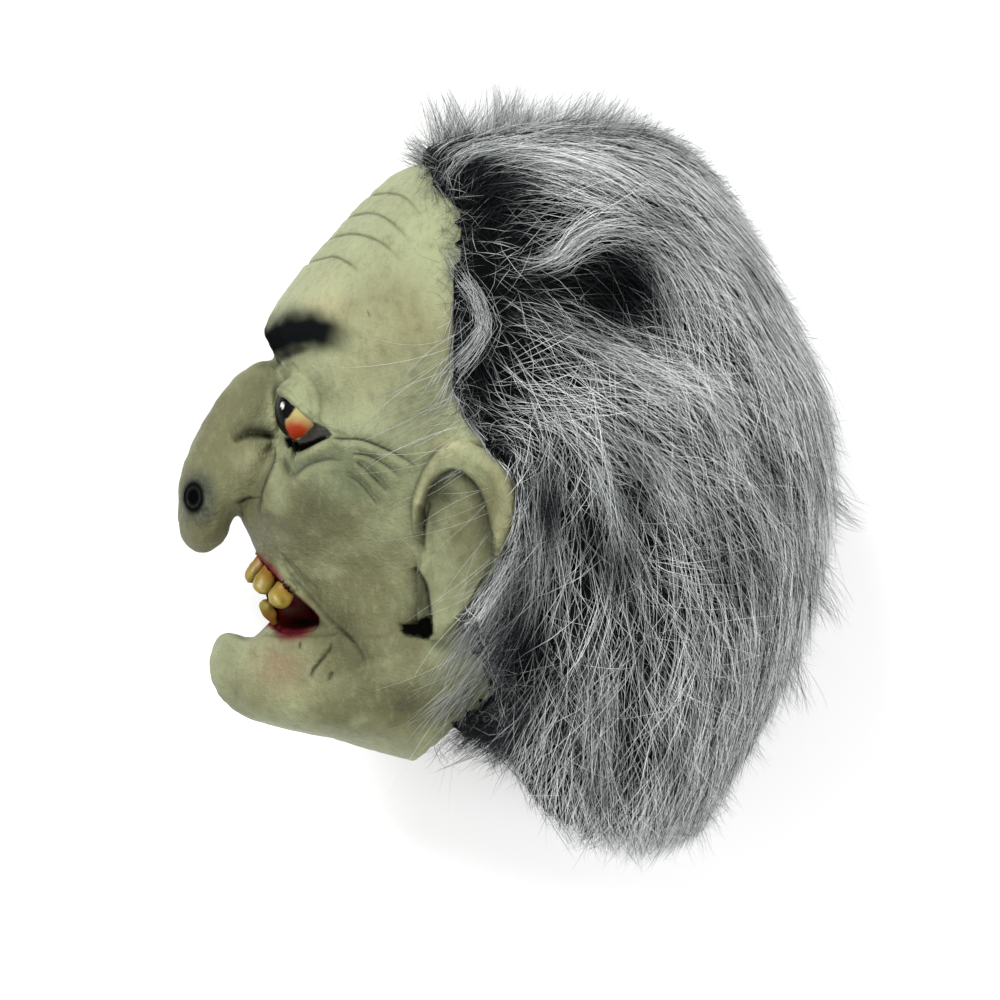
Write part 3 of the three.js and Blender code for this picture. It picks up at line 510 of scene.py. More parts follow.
def blob(x, y, side, at, reach):
    """A soft round mask about a point in profile and across."""
    across = ((side - at[2]) / reach[2]) ** 2
    return np.exp(-(((x - at[0]) / reach[0]) ** 2 + ((y - at[1]) / reach[1]) ** 2 + across))


def spot(x, y, at, reach):
    """A soft round mask about a point in profile."""
    return np.exp(-(((x - at[0]) / reach[0]) ** 2 + ((y - at[1]) / reach[1]) ** 2))


def strongest_spot(spots, x, y):
    """The strongest of some soft round spots at points in profile."""
    return np.max([share * spot(x, y, at, reach) for at, reach, share in spots], axis=0)


def smooth_curve(points, steps=8):
    """A smooth curve through points, as rows of numbers."""
    p = np.array(points, float)
    p = np.vstack([2 * p[0] - p[1], p, 2 * p[-1] - p[-2]])
    rows = []
    for i in range(1, len(p) - 2):
        for t in np.arange(steps) / steps:
            a, b, c, d = p[i - 1 : i + 3]
            rows.append(0.5 * (2 * b + (c - a) * t + (2 * a - 5 * b + 4 * c - d) * t**2
                               + (3 * b - a - 3 * c + d) * t**3))
    rows.append(p[-2])
    return np.array(rows)


def curve_distance(x, y, curve):
    """Each point's distance from a curve in profile, its place along it from 0 to 1, and +1 on its left."""
    best = np.full(x.shape, 1e9)
    place = np.zeros(x.shape)
    left = np.ones(x.shape)
    for i, (a, b) in enumerate(zip(curve[:-1, :2], curve[1:, :2])):
        d = b - a
        t = np.clip(((x - a[0]) * d[0] + (y - a[1]) * d[1]) / (d @ d), 0, 1)
        distance = np.hypot(x - a[0] - t * d[0], y - a[1] - t * d[1])
        nearer = distance < best
        best[nearer] = distance[nearer]
        place[nearer] = (i + t[nearer]) / (len(curve) - 1)
        turn = d[0] * (y - a[1]) - d[1] * (x - a[0])
        left[nearer] = np.where(turn[nearer] >= 0, 1, -1)
    return best, place, left


def along(x, y, path, reach, steps=8):
    """Which points lie near a path in profile, with their distances from it, places along it and sides."""
    curve = smooth_curve(path, steps)
    part = near(x, y, curve, reach)
    return part, *curve_distance(x[part], y[part], curve)


def near(x, y, curve, reach):
    """Which points lie in the box round a curve in profile, grown by the reach."""
    low, high = curve[:, :2].min(0) - reach, curve[:, :2].max(0) + reach
    return (x > low[0]) & (x < high[0]) & (y > low[1]) & (y < high[1])


def inside_outline(x, y, outline):
    """Whether points in profile are inside a closed outline."""
    inside = np.zeros(x.shape, bool)
    for (ax, ay), (bx, by) in zip(outline, np.roll(outline, -1, axis=0)):
        crosses = (ay > y) != (by > y)
        inside ^= crosses & (x < (bx - ax) * (y - ay) / (by - ay + 1e-12) + ax)
    return inside


def noise(points, scale, seed=0):
    """Smooth noise from -1 to 1 over points in millimetres, with lumps of about the scale."""
    rng = np.random.default_rng(SEED + seed)
    total = np.zeros(len(points))
    for _ in range(NOISE_WAVES):
        direction = rng.normal(size=3)
        direction *= 2 * math.pi / (scale * rng.uniform(0.8, 2.2)) / np.linalg.norm(direction)
        total += np.sin(points @ direction + rng.uniform(0, 2 * math.pi))
    return total / NOISE_HEIGHT


def relax(mesh, rounds, strength=1.0):
    """Evens out a mesh by averaging neighbours, and moves it back each time so that it keeps its size."""
    p = points_of(mesh)
    first, second = edges_of(mesh).T
    count = len(p)
    degree = np.bincount(first, minlength=count) + np.bincount(second, minlength=count)
    strength = np.broadcast_to(strength, (count,))[:, None]
    for factor in [SMOOTH_OUT, SMOOTH_BACK] * rounds:
        sums = np.stack([
            np.bincount(first, p[second, axis], count) + np.bincount(second, p[first, axis], count)
            for axis in range(3)], axis=1)
        p += factor * strength * (sums / np.maximum(degree, 1)[:, None] - p)
    move_points(mesh, p)


def only(obj):
    """Deselects everything but one object and makes it active."""
    if bpy.context.object and bpy.context.object.mode != "OBJECT":
        bpy.ops.object.mode_set(mode="OBJECT")
    bpy.ops.object.select_all(action="DESELECT")
    obj.hide_set(False)
    obj.select_set(True)
    bpy.context.view_layer.objects.active = obj


def copy_of(node, name):
    """A loose copy of a CAD node with its doubled vertices merged."""
    obj = bpy.data.objects.new(name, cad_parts[node].data.copy())
    obj.data.name = name
    obj.data.materials.clear()
    bpy.context.scene.collection.objects.link(obj)
    only(obj)
    bpy.ops.object.mode_set(mode="EDIT")
    bpy.ops.mesh.select_all(action="SELECT")
    bpy.ops.mesh.remove_doubles(threshold=1e-6)
    bpy.ops.object.mode_set(mode="OBJECT")
    return obj


def remesh(obj, voxel):
    only(obj)
    modifier = obj.modifiers.new("Remesh", "REMESH")
    modifier.mode = "VOXEL"
    modifier.voxel_size = voxel
    bpy.ops.object.modifier_apply(modifier=modifier.name)


def pick_faces(obj, vertex_mask):
    """Selects in edit mode the faces whose vertices are all in the mask."""
    only(obj)
    mesh = obj.data
    corners = np.empty(len(mesh.loops), np.int32)
    mesh.loops.foreach_get("vertex_index", corners)
    starts = np.empty(len(mesh.polygons), np.int32)
    mesh.polygons.foreach_get("loop_start", starts)
    picked = np.logical_and.reduceat(vertex_mask[corners], starts)
    mesh.vertices.foreach_set("select", np.zeros(len(mesh.vertices), bool))
    mesh.edges.foreach_set("select", np.zeros(len(mesh.edges), bool))
    mesh.polygons.foreach_set("select", picked)
    bpy.ops.object.mode_set(mode="EDIT")
    bpy.ops.mesh.select_mode(type="FACE")


def shade_smooth(obj):
    only(obj)
    bpy.ops.object.shade_smooth()


def set_attribute(mesh, name, values):
    attribute = mesh.attributes.get(name) or mesh.attributes.new(name, "FLOAT", "POINT")
    attribute.data.foreach_set("value", np.asarray(values, np.float32))


def mesh_object(name, points, faces):
    """A new object in the scene from points in metres and a list of arrays of like-sided faces."""
    mesh = bpy.data.meshes.new(name)
    mesh.vertices.add(len(points))
    mesh.vertices.foreach_set("co", np.asarray(points, np.float32).ravel())
    corners = np.concatenate([group.ravel() for group in faces]).astype(np.int32)
    sizes = np.concatenate([np.full(len(group), group.shape[1]) for group in faces])
    starts = np.concatenate([[0], np.cumsum(sizes)[:-1]]).astype(np.int32)
    mesh.loops.add(len(corners))
    mesh.loops.foreach_set("vertex_index", corners)
    mesh.polygons.add(len(sizes))
    mesh.polygons.foreach_set("loop_start", starts)
    mesh.update(calc_edges=True)
    obj = bpy.data.objects.new(name, mesh)
    bpy.context.scene.collection.objects.link(obj)
    return obj


def place_piece(obj, material, replaces=None):
    """Gives a finished piece its material and smooth shading, hangs it under the root body and hides the CAD
    part that it replaces.
    """
    obj.data.materials.clear()
    obj.data.materials.append(material)
    shade_smooth(obj)
    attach(obj, "root")
    if replaces:
        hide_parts(replaces)


def tree_of(points, faces):
    return BVHTree.FromPolygons([tuple(p) for p in points], [tuple(f) for f in faces])


def faces_of(mesh):
    return [tuple(face.vertices) for face in mesh.polygons]


def gap_to(tree, points):
    """How far points are from a surface."""
    return np.array([tree.find_nearest(q)[3] for q in points])


def quick_or_full(full):
    return full


# Materials


def new_material(name):
    """An empty material with its output and a principled shader linked up."""
    material = bpy.data.materials.new(name)
    material.use_nodes = True
    tree = material.node_tree
    tree.nodes.clear()
    shader = add_node(tree, "ShaderNodeBsdfPrincipled")
    add_node(tree, "ShaderNodeOutputMaterial", {}, {"Surface": shader.outputs["BSDF"]})
    return material, tree, shader


def add_node(tree, kind, settings=None, links=None):
    """Adds a node: settings are attributes or socket values, links are outputs that feed its sockets."""
    node = tree.nodes.new(kind)
    for key, value in (settings or {}).items():
        if isinstance(key, int) or key in node.inputs:
            node.inputs[key].default_value = value
        else:
            setattr(node, key, value)
    for key, output in (links or {}).items():
        tree.links.new(output, node.inputs[key])
    return node


def painted(tree, base, coats):
    """The colour of some coats of paint over a base, each as thick as its mask says."""
    under = {}
    for mask, coat in coats:
        mix = add_node(tree, "ShaderNodeMix", {"data_type": "RGBA", "clamp_factor": True, 6: base, 7: coat},
                       {0: mask, **under})
        under = {6: mix.outputs[2]}
    return mix.outputs[2]


def lumps(size):
    """A noise pattern's scale for lumps of a size in millimetres."""
    return 1 / (size * MM)


def latex_material(paint):
    """Cast latex, satin from its mould, airbrushed in thin olive coats that leave freckles and soft edges;
    the coats hold painted shade and painted highlights too.

    Pores and grain are drawn coarser than the real ones, which are too fine to show.
    """
    material, tree, shader = new_material("airbrushed_cast_latex")
    place = add_node(tree, "ShaderNodeTexCoord").outputs["Object"]
    speckle = add_node(tree, "ShaderNodeTexNoise", {"Scale": lumps(6.25), "Detail": 6, "Roughness": 0.65},
                       {"Vector": place}).outputs["Fac"]
    patch = add_node(tree, "ShaderNodeTexNoise", {"Scale": lumps(29.41), "Detail": 4},
                     {"Vector": place}).outputs["Fac"]
    pores = add_node(tree, "ShaderNodeTexNoise", {"Scale": lumps(1.613), "Detail": 3, "Roughness": 0.6},
                     {"Vector": place}).outputs["Fac"]
    grain = add_node(tree, "ShaderNodeTexNoise", {"Scale": lumps(0.6667), "Detail": 2},
                     {"Vector": place}).outputs["Fac"]
    brushed = add_node(tree, "ShaderNodeMapping", {"Rotation": (0, 0, 0.9), "Scale": (1, 0.5, 1)},
                       {"Vector": place})
    strokes = add_node(tree, "ShaderNodeTexNoise", {"Scale": lumps(3.333), "Detail": 6, "Roughness": 0.7},
                       {"Vector": brushed.outputs[0]}).outputs["Fac"]
    masks = {name: add_node(tree, "ShaderNodeAttribute", {"attribute_name": name}).outputs["Fac"]
             for name in [*SPRAYED_COATS, *BRUSHED_COATS, "sheen"]}
    blotch = add_node(tree, "ShaderNodeMapRange",
                      {"From Min": 0.4, "From Max": 0.66, "To Min": 0, "To Max": 0.5}, {"Value": patch})
    coats = [(blotch.outputs["Result"], paint.latex_deep)]
    broken = add_node(tree, "ShaderNodeMath", {"operation": "MULTIPLY_ADD", 1: 0.5, 2: -0.25}, {0: speckle})
    for coat in SPRAYED_COATS:
        rim = add_node(tree, "ShaderNodeMath", {"operation": "PINGPONG", 1: 0.5}, {0: masks[coat]})
        edge = add_node(tree, "ShaderNodeMath", {"operation": "MULTIPLY"},
                        {0: broken.outputs[0], 1: rim.outputs[0]})
        frayed = add_node(tree, "ShaderNodeMath", {"operation": "MULTIPLY_ADD", 1: FRAY},
                          {0: edge.outputs[0], 2: masks[coat]})
        coats.append((frayed.outputs[0], getattr(paint, coat)))
    freckle = add_node(tree, "ShaderNodeMapRange",
                       {"From Min": 0.56, "From Max": 0.75, "To Min": 0, "To Max": 0.45}, {"Value": speckle})
    wiped = add_node(tree, "ShaderNodeMapRange",
                     {"From Min": 0.5, "From Max": 0.75, "To Min": 0, "To Max": 0.2}, {"Value": strokes})
    stain = add_node(tree, "ShaderNodeMapRange",
                     {"From Min": 0.5, "From Max": 0.28, "To Min": 0, "To Max": 0.3}, {"Value": strokes})
    coats += [(freckle.outputs["Result"], paint.freckle), (wiped.outputs["Result"], paint.rubbed_and_highlight),
              (stain.outputs["Result"], paint.olive_and_shade)]
    coats += [(masks[coat], getattr(paint, coat)) for coat in BRUSHED_COATS]
    tree.links.new(painted(tree, paint.latex, coats), shader.inputs["Base Color"])
    rough = add_node(tree, "ShaderNodeMapRange",
                     {"From Min": 0.3, "From Max": 0.7, "To Min": 0.42, "To Max": 0.6}, {"Value": pores})
    tree.links.new(rough.outputs["Result"], shader.inputs["Roughness"])
    skin = add_node(tree, "ShaderNodeMath", {"operation": "MULTIPLY_ADD", 1: 0.35}, {0: grain, 2: pores})
    rolled = add_node(tree, "ShaderNodeMath", {"operation": "MULTIPLY_ADD", 1: 1.6},
                      {0: speckle, 2: skin.outputs[0]})
    bump = add_node(tree, "ShaderNodeBump", {"Strength": 0.9, "Distance": 0.8 * MM},
                    {"Height": rolled.outputs[0]})
    tree.links.new(bump.outputs["Normal"], shader.inputs["Normal"])
    sheen = add_node(tree, "ShaderNodeMath", {"operation": "MULTIPLY", 1: 0.16}, {0: masks["sheen"]})
    tree.links.new(sheen.outputs[0], shader.inputs["Specular IOR Level"])
    return material


def eye_material(paint):
    """Paint brushed on the cast eyeball under a thick coat of clear lacquer, with a painted highlight and
    painted shade.
    """
    material, tree, shader = new_material("lacquered_eye_paint")
    place = add_node(tree, "ShaderNodeTexCoord").outputs["Object"]
    cloud = add_node(tree, "ShaderNodeTexNoise", {"Scale": lumps(3.846), "Detail": 4}, {"Vector": place})
    tint = add_node(tree, "ShaderNodeMapRange", {"From Min": 0.45, "From Max": 0.7, "To Max": 0.5},
                    {"Value": cloud.outputs["Fac"]})
    masks = {name: add_node(tree, "ShaderNodeAttribute", {"attribute_name": name}).outputs["Fac"]
             for name in ["rust", "iris", "painted_highlight", "lacquer"]}
    coats = [(tint.outputs["Result"], paint.eye_cream), (masks["rust"], paint.eye_rust),
             (masks["iris"], paint.eye_black_and_shade), (masks["painted_highlight"], paint.eye_painted_highlight)]
    tree.links.new(painted(tree, paint.eye_white, coats), shader.inputs["Base Color"])
    shader.inputs["Roughness"].default_value = 0.25
    shader.inputs["Specular IOR Level"].default_value = 0.05
    lacquer = add_node(tree, "ShaderNodeMath", {"operation": "MULTIPLY", 1: 0.3}, {0: masks["lacquer"]})
    tree.links.new(lacquer.outputs[0], shader.inputs["Coat Weight"])
    shader.inputs["Coat Roughness"].default_value = 0.03
    return material


def tooth_material(paint):
    """Yellow paint on the cast teeth, wiped to brown and orange towards the gum."""
    material, tree, shader = new_material("painted_cast_teeth")
    place = add_node(tree, "ShaderNodeTexCoord").outputs["Object"]
    streak = add_node(tree, "ShaderNodeTexNoise", {"Scale": lumps(2.632), "Detail": 5}, {"Vector": place})
    tint = add_node(tree, "ShaderNodeMapRange", {"From Min": 0.42, "From Max": 0.68, "To Max": 0.55},
                    {"Value": streak.outputs["Fac"]})
    root = add_node(tree, "ShaderNodeAttribute", {"attribute_name": "root"})
    coats = [(tint.outputs["Result"], paint.tooth_stain), (root.outputs["Fac"], paint.tooth_root)]
    tree.links.new(painted(tree, paint.tooth, coats), shader.inputs["Base Color"])
    shader.inputs["Roughness"].default_value = 0.42
    bump = add_node(tree, "ShaderNodeBump", {"Strength": 0.3, "Distance": 0.4 * MM},
                    {"Height": streak.outputs["Fac"]})
    tree.links.new(bump.outputs["Normal"], shader.inputs["Normal"])
    return material


def fur_material(paint):
    """Acrylic pile of a faux fur fabric, dyed black at the roots and frosted silver towards the tips."""
    material, tree, shader = new_material("frosted_acrylic_pile")
    place = add_node(tree, "ShaderNodeTexCoord").outputs["Object"]
    cloud = add_node(tree, "ShaderNodeTexNoise", {"Scale": lumps(35.71), "Detail": 3}, {"Vector": place})
    shade = add_node(tree, "ShaderNodeMath", {"operation": "MULTIPLY_ADD", 1: 0.4, 2: 0.8},
                     {0: cloud.outputs["Fac"]})
    tone = add_node(tree, "ShaderNodeAttribute", {"attribute_name": "tone"})
    value = add_node(tree, "ShaderNodeMath", {"operation": "MULTIPLY", "use_clamp": True},
                     {0: tone.outputs["Fac"], 1: shade.outputs[0]})
    ramp = add_node(tree, "ShaderNodeValToRGB", {}, {"Fac": value.outputs[0]})
    stops = ramp.color_ramp.elements
    stops[0].color = paint.fur_black
    stops[1].color = paint.fur_silver
    for position, colour in ((0.35, paint.fur_charcoal), (0.7, paint.fur_grey)):
        stops.new(position).color = colour
    tree.links.new(ramp.outputs["Color"], shader.inputs["Base Color"])
    shader.inputs["Roughness"].default_value = 0.6
    shader.inputs["Specular IOR Level"].default_value = 0.02
    return material


# Pieces


def is_inner(points, faces, tree):
    """For each face, whether it is part of the hood's inner wall."""
    corners = np.array([points[list(face)].mean(0) for face in faces])
    inner = np.zeros(len(faces), bool)
    for view in INSIDE_VIEWS:
        eye = Vector((view[0] * MM, view[1] * MM, MIDDLE))
        for i, centre in enumerate(corners):
            if inner[i]:
                continue
            way = Vector(centre) - eye
            hit = tree.ray_cast(eye, way.normalized(), way.length + MM)
            inner[i] = hit[2] == i
    return inner


def patch_of(x, y, outline, soft):
    """1 inside a closed outline in profile, fading to 0 outside over the soft edge."""
    inside = inside_outline(x, y, np.array(outline))
    ring = np.array(outline + outline[:1])
    patch = inside.astype(float)
    part = near(x, y, ring, 3 * soft) & ~inside
    d, _, _ = curve_distance(x[part], y[part], ring)
    patch[part] = ease(soft, 0, d)
    return patch


def fine_parts(points):
    """Where the skin needs a finer mesh: round the eye, mouth, brow and wart, and along the folds."""
    x, y, _ = profile(points)
    fine = np.zeros(len(points), bool)
    for low, high in FINE_BOXES:
        fine |= (x > low[0]) & (x < high[0]) & (y > low[1]) & (y < high[1])
    lines = [(fold["path"], fold["width"]) for fold in FOLDS]
    lines += [(line, LINE_WIDTH) for line in FOREHEAD_LINES]
    for path, width in lines:
        reach = FINE_REACH * width + FINE_MARGIN
        part, d, _, _ = along(x, y, path, reach, 4)
        fine[part] |= d < reach
    return fine


def wart_distance(x, y, middle):
    """How far points in profile are from a middle, in radii of the wart."""
    return np.hypot((x - middle[0]) / WART_RADII[0], (y - middle[1]) / WART_RADII[1])


def carve(points, normals, outer):
    """Sculpts the skin: its folds, rims and wrinkles, the wart and the uneven cast surface."""
    x, y, _ = profile(points)
    facing = ease(0.05, 0.4, normals[:, 2] * np.sign(points[:, 2] - MIDDLE))
    depth = np.zeros(len(points))
    for line in FOREHEAD_LINES:
        part, d, t, _ = along(x, y, line, 10 * LINE_WIDTH)
        depth[part] -= LINE_DEPTH * np.exp(-((d / LINE_WIDTH) ** 2)) * ease(0, 0.1, 1 - t)
        depth[part] += LINE_BANK * np.exp(-(((d - 2.4) / 1.4) ** 2))
    for fold in FOLDS:
        part, d, t, left = along(x, y, fold["path"], 3 * fold["reach"])
        fade = ease(0, 0.12, t) * ease(0, 0.15, 1 - t) * facing[part]
        lean = 0.5 + 0.5 * np.tanh(left * d / (0.7 * fold["width"]))
        bank = (fold["left"] * lean + fold["right"] * (1 - lean)) * np.exp(-((d / fold["reach"]) ** 2))
        depth[part] += (bank - fold["depth"] * np.exp(-((d / fold["width"]) ** 2))) * fade
    for rim in RIDGES:
        part, d, t, _ = along(x, y, rim["path"], 3 * rim["width"])
        fade = ease(0, 0.1, t) * ease(0, 0.35, 1 - t) * facing[part]
        depth[part] += rim["height"] * np.exp(-((d / rim["width"]) ** 2)) * fade
    wart = wart_distance(x, y, WART)
    depth += facing * (1.2 * np.exp(-(((wart - 0.85) / 0.22) ** 2)) + 0.5 * np.exp(-((wart / 0.45) ** 2)))
    depth -= 2.2 * patch_of(x, y, SIGHT_SLIT, 0.7) + 2.5 * patch_of(x, y, EAR_HOLE, 1.2) * facing
    shift = np.zeros((len(points), 3))
    for at, reach, move in DENTS:
        shift += spot(x, y, at, reach)[:, None] * (*move, 0)
    pitted = np.clip(noise(points / MM, 4, 3) - 0.45, 0, 1)
    depth += 0.28 * noise(points / MM, 11, 1) + 0.12 * noise(points / MM, 3.6, 2) - 0.35 * pitted
    return points + (normals * depth[:, None] + shift) * outer[:, None] * MM


def mouth_depth(x, y):
    """How far points in profile lie inside the mouth's outline, and less than 0 outside it."""
    mouth = smooth_curve(MOUTH_OUTLINE)[:, :2]
    d, _, _ = curve_distance(x, y, np.vstack([mouth, mouth[:1]]))
    return np.where(inside_outline(x, y, mouth), d, -d)


def paint_masks(points):
    """How thick each coat of paint lies at each point, among them painted shade and highlights, and where the
    skin keeps its sheen.
    """
    x, y, side = profile(points)
    cloud = noise(points / MM, 16, 5)
    fine = noise(points / MM, 5, 6)
    masks = {coat: np.zeros(len(points)) for coat in SPRAYED_COATS + BRUSHED_COATS}
    # The olive coat lies thicker low on the face and on the nose: airbrushed colour, and painted shade where
    # the light falls off
    masks["olive_and_shade"] = np.clip(
        0.45 * ease(28, -10, y) * ease(-20, -60, x) * ease(-100, -62, y)
        + 0.75 * ease(-104, -116, x) * ease(-60, -30, y) + 0.12 * cloud, 0, 0.85)
    for coat, at, reach, strength in CLOUDS:
        soft = strength * spot(x, y, at, reach)
        masks[coat] = np.clip(masks[coat] + soft * (1 + 0.25 * cloud + 0.15 * fine), 0, COAT_LIMIT)
    # Painted shade along the forehead's wrinkles and in the folds' creases
    lines = [(line, 0.5, 0.55) for line in FOREHEAD_LINES]
    lines += [(fold["path"], fold["width"] * 0.6, fold["dark"]) for fold in FOLDS]
    for line, width, dark in lines:
        part, d, t, _ = along(x, y, line, 3 * width)
        narrow = width * (0.6 + 0.6 * np.sin(math.pi * t))
        painted_shade = dark * np.exp(-((d / narrow) ** 2)) * ease(0, 0.2, t) * ease(0, 0.3, 1 - t)
        masks["crease_shade"][part] = np.maximum(masks["crease_shade"][part], painted_shade)
    # Painted shade beside the folds
    paths = {fold["name"]: fold["path"] for fold in FOLDS}
    for name, hand, reach, strength in SHADES:
        part, d, t, left = along(x, y, paths[name], 2.5 * reach)
        soft = strength * np.exp(-((d / reach) ** 2)) * (left == hand) * ease(0, 0.2, t) * ease(0, 0.2, 1 - t)
        masks["painted_shade"][part] = np.maximum(masks["painted_shade"][part], soft)
    # Rims and rolls painted paler: rubbed latex, and painted highlight where they bulge
    for rim in RIDGES:
        part, d, t, _ = along(x, y, rim["path"], 3 * rim["width"])
        rubbed = rim["rubbed_and_highlight"] * np.exp(-((d / rim["width"]) ** 2)) * ease(0, 0.25, t) * ease(0, 0.35, 1 - t)
        masks["rubbed_and_highlight"][part] = np.maximum(masks["rubbed_and_highlight"][part], rubbed)
    wart = wart_distance(x, y, WART)
    nose_side = ease(4, 8, side)
    masks["halo"] = 0.92 * ease(2.8, 1.1, wart_distance(x, y, HALO)) * nose_side
    masks["wart"] = ease(1.5, 0.95, wart) * (1 - 0.2 * np.exp(-(((wart - 0.72) / 0.12) ** 2))) * nose_side
    brow = smooth_curve(BROW)
    d, t, _ = curve_distance(x, y, brow)
    width = np.interp(t, np.linspace(0, 1, len(brow)), brow[:, 2])
    masks["brow"] = ease(1.65, 0.4, d / width + 0.07 * fine) * ease(1.05, 0.66, t) * ease(2, 8, side)
    depth = mouth_depth(x, y)
    low_lip = ease(-62, -66, y)
    tongue = spot(x, y, TONGUE, TONGUE_REACH)
    deep = ease(-0.1 + 0.6 * low_lip, 0.9 + 2.2 * low_lip, depth)
    masks["mouth"] = deep * ease(-150, -120, x) * (1 - 0.35 * tongue)
    fading = ease(-3.4 - 1.4 * fine, 0.4, depth)
    reddened = np.maximum(low_lip * ease(-85, -95, x), ease(-96, -108, x))
    masks["lip"] = np.maximum(0.95 * fading * reddened * ease(-124, -118, x), tongue)
    # Black painted shade in the sight slit and the ear's hole, and dark grey on the inner lid
    patches = [("deep_shade", SIGHT_SLIT, 0.7), ("rim_grey", INNER_LID, 0.7), ("deep_shade", EAR_HOLE, 1.6)]
    for coat, outline, soft in patches:
        masks[coat] = np.maximum(masks[coat], patch_of(x, y, outline, soft) * ease(12, 18, side))
    masks["sheen"] = 1 - np.max([masks[coat] for coat in MATT_COATS], axis=0)
    return masks


def outer_points(obj, tree, inner_face):
    """A mesh's points, and which of them lie on the hood's outer wall."""
    p = points_of(obj.data)
    return p, ~np.array([inner_face[tree.find_nearest(q)[2]] for q in p])


def thin_out(share):
    """Thins the selected faces to a share of their number."""
    bpy.ops.mesh.decimate(ratio=share)
    bpy.ops.object.mode_set(mode="OBJECT")


def draw_in_teeth(mesh):
    """Draws the cast teeth in to their gums, where the modelled ones cover them. The lips stay."""
    p = points_of(mesh)
    x, y, _ = profile(p)
    within = ease(0.2, 1.6, mouth_depth(x, y))
    for tooth in TEETH:
        for hand in (1, -1):
            gum = np.array([tooth["at"][0] * MM, tooth["at"][1] * MM, MIDDLE + hand * tooth["side"] * MM])
            away = (gum[1] - p[:, 1]) * tooth["upper"] / (tooth["length"] * MM)
            off = np.hypot(p[:, 0] - gum[0] - tooth["lean"] * MM * away, p[:, 2] - gum[2])
            cast = ease(1.4, 1.15, off / (tooth["radius"] * MM)) * (away > 0) * (away < 1.1) * within
            back = (STUB_SHIFT[0] * MM, 0, STUB_SHIFT[1] * MM * hand)
            p += cast[:, None] * (STUB_SHRINK * (gum - p) + back)
    move_points(mesh, p)


class GHOUL_OT_latex(Operator):
    """Cast the latex hood from the frame and carve, line and paint its face"""

    bl_idname = "ghoul.latex"
    bl_label = "Latex hood"

    def execute(self, context):
        shape = context.scene.ghoul_shape
        obj = copy_of("latex_mask", "latex_face")
        points, faces = points_of(obj.data), faces_of(obj.data)
        tree = tree_of(points, faces)
        inner_face = is_inner(points, faces, tree)
        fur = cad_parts["fur_hair"].data
        fur_tree = tree_of(points_of(fur), faces_of(fur))
        remesh(obj, shape.latex_spacing * quick_or_full(1))
        p, outer = outer_points(obj, tree, inner_face)
        x, y, side = profile(p)
        covered = (gap_to(fur_tree, p) < COVERED * MM) & ~inside_outline(x, y, BARE)
        spared = np.max([share * blob(x, y, side, at, reach) for at, reach, share in SPARED], axis=0)
        relax(obj.data, quick_or_full(RELAX_ROUNDS), np.clip(1.1 - 1.2 * spared, 0.05, 1))
        draw_in_teeth(obj.data)
        pick_faces(obj, ~outer | covered)
        thin_out(HIDDEN_SHARE)
        p, outer = outer_points(obj, tree, inner_face)
        for hand, share in SIDE_SHARES:
            on_side = (p[:, 2] - MIDDLE) * hand > SEAM * MM
            pick_faces(obj, outer & on_side & ~(fine_parts(p) & (hand > 0)))
            thin_out(share)
            p, outer = outer_points(obj, tree, inner_face)
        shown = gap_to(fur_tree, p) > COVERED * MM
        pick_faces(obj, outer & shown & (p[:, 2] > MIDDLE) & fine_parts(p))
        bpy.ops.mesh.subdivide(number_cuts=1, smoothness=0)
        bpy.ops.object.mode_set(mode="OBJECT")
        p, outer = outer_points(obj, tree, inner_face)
        move_points(obj.data, carve(p, normals_of(obj.data), outer.astype(float)))
        for coat, mask in paint_masks(points_of(obj.data)).items():
            set_attribute(obj.data, coat, mask)
        place_piece(obj, latex_material(context.scene.ghoul_paint), "latex_mask")
        return {"FINISHED"}


class GHOUL_OT_eyes(Operator):
    """Set the two lacquered eyeballs behind the lids"""

    bl_idname = "ghoul.eyes"
    bl_label = "Eyes"

    def execute(self, context):
        material = eye_material(context.scene.ghoul_paint)
        for side, label in ((1, "left"), (-1, "right")):
            x, y, z = EYE["at"]
            centre = np.array([x * MM, y * MM, MIDDLE + side * z * MM])
            bpy.ops.object.select_all(action="DESELECT")
            bpy.ops.mesh.primitive_uv_sphere_add(
                segments=EYE_SEGMENTS, ring_count=EYE_RINGS, radius=EYE["radius"] * MM, location=centre)
            bpy.ops.object.transform_apply(location=True, rotation=True, scale=True)
            obj = context.object
            obj.name = f"eyeball_{label}"
            gaze = np.array(EYE["gaze"]) * (1, 1, side)
            out = (points_of(obj.data) - centre) / (EYE["radius"] * MM)
            angle = np.degrees(np.arccos(np.clip(out @ gaze, -1, 1)))
            bulge = EYE["cornea"] * MM * ease(EYE["iris_angle"] * 1.2, 0, angle)
            move_points(obj.data, points_of(obj.data) + out * bulge[:, None])
            x, y, _ = profile(points_of(obj.data))
            red = np.hypot((x - EYE["red"][0]) / RED_REACH[0], (y - EYE["red"][1]) / RED_REACH[1])
            red += 0.1 * noise(out * 20, 6, 3)
            iris = ease(EYE["iris_angle"] + IRIS_EDGE, EYE["iris_angle"] - IRIS_EDGE, angle)
            # The iris's black is also laid as painted shade under the sight slit and at the front corner and
            # lower edge
            dark = [iris, patch_of(x, y, SIGHT_SLIT, 0.6), patch_of(x, y, EYE_SHADE, 0.6)]
            set_attribute(obj.data, "iris", np.max(dark, axis=0))
            # A painted highlight: a white spot where a reflection would shine on the iris
            painted_highlight = np.hypot((x - EYE["painted_highlight"][0]) / PAINTED_HIGHLIGHT_REACH[0], (y - EYE["painted_highlight"][1]) / PAINTED_HIGHLIGHT_REACH[1])
            set_attribute(obj.data, "painted_highlight", ease(1.3, 0.8, painted_highlight) * (out[:, 2] * side > 0))
            set_attribute(obj.data, "rust", ease(1.3, 0.35, red))
            set_attribute(obj.data, "lacquer", ease(0.6, 0.9, out[:, 2] * side))
            place_piece(obj, material)
        return {"FINISHED"}


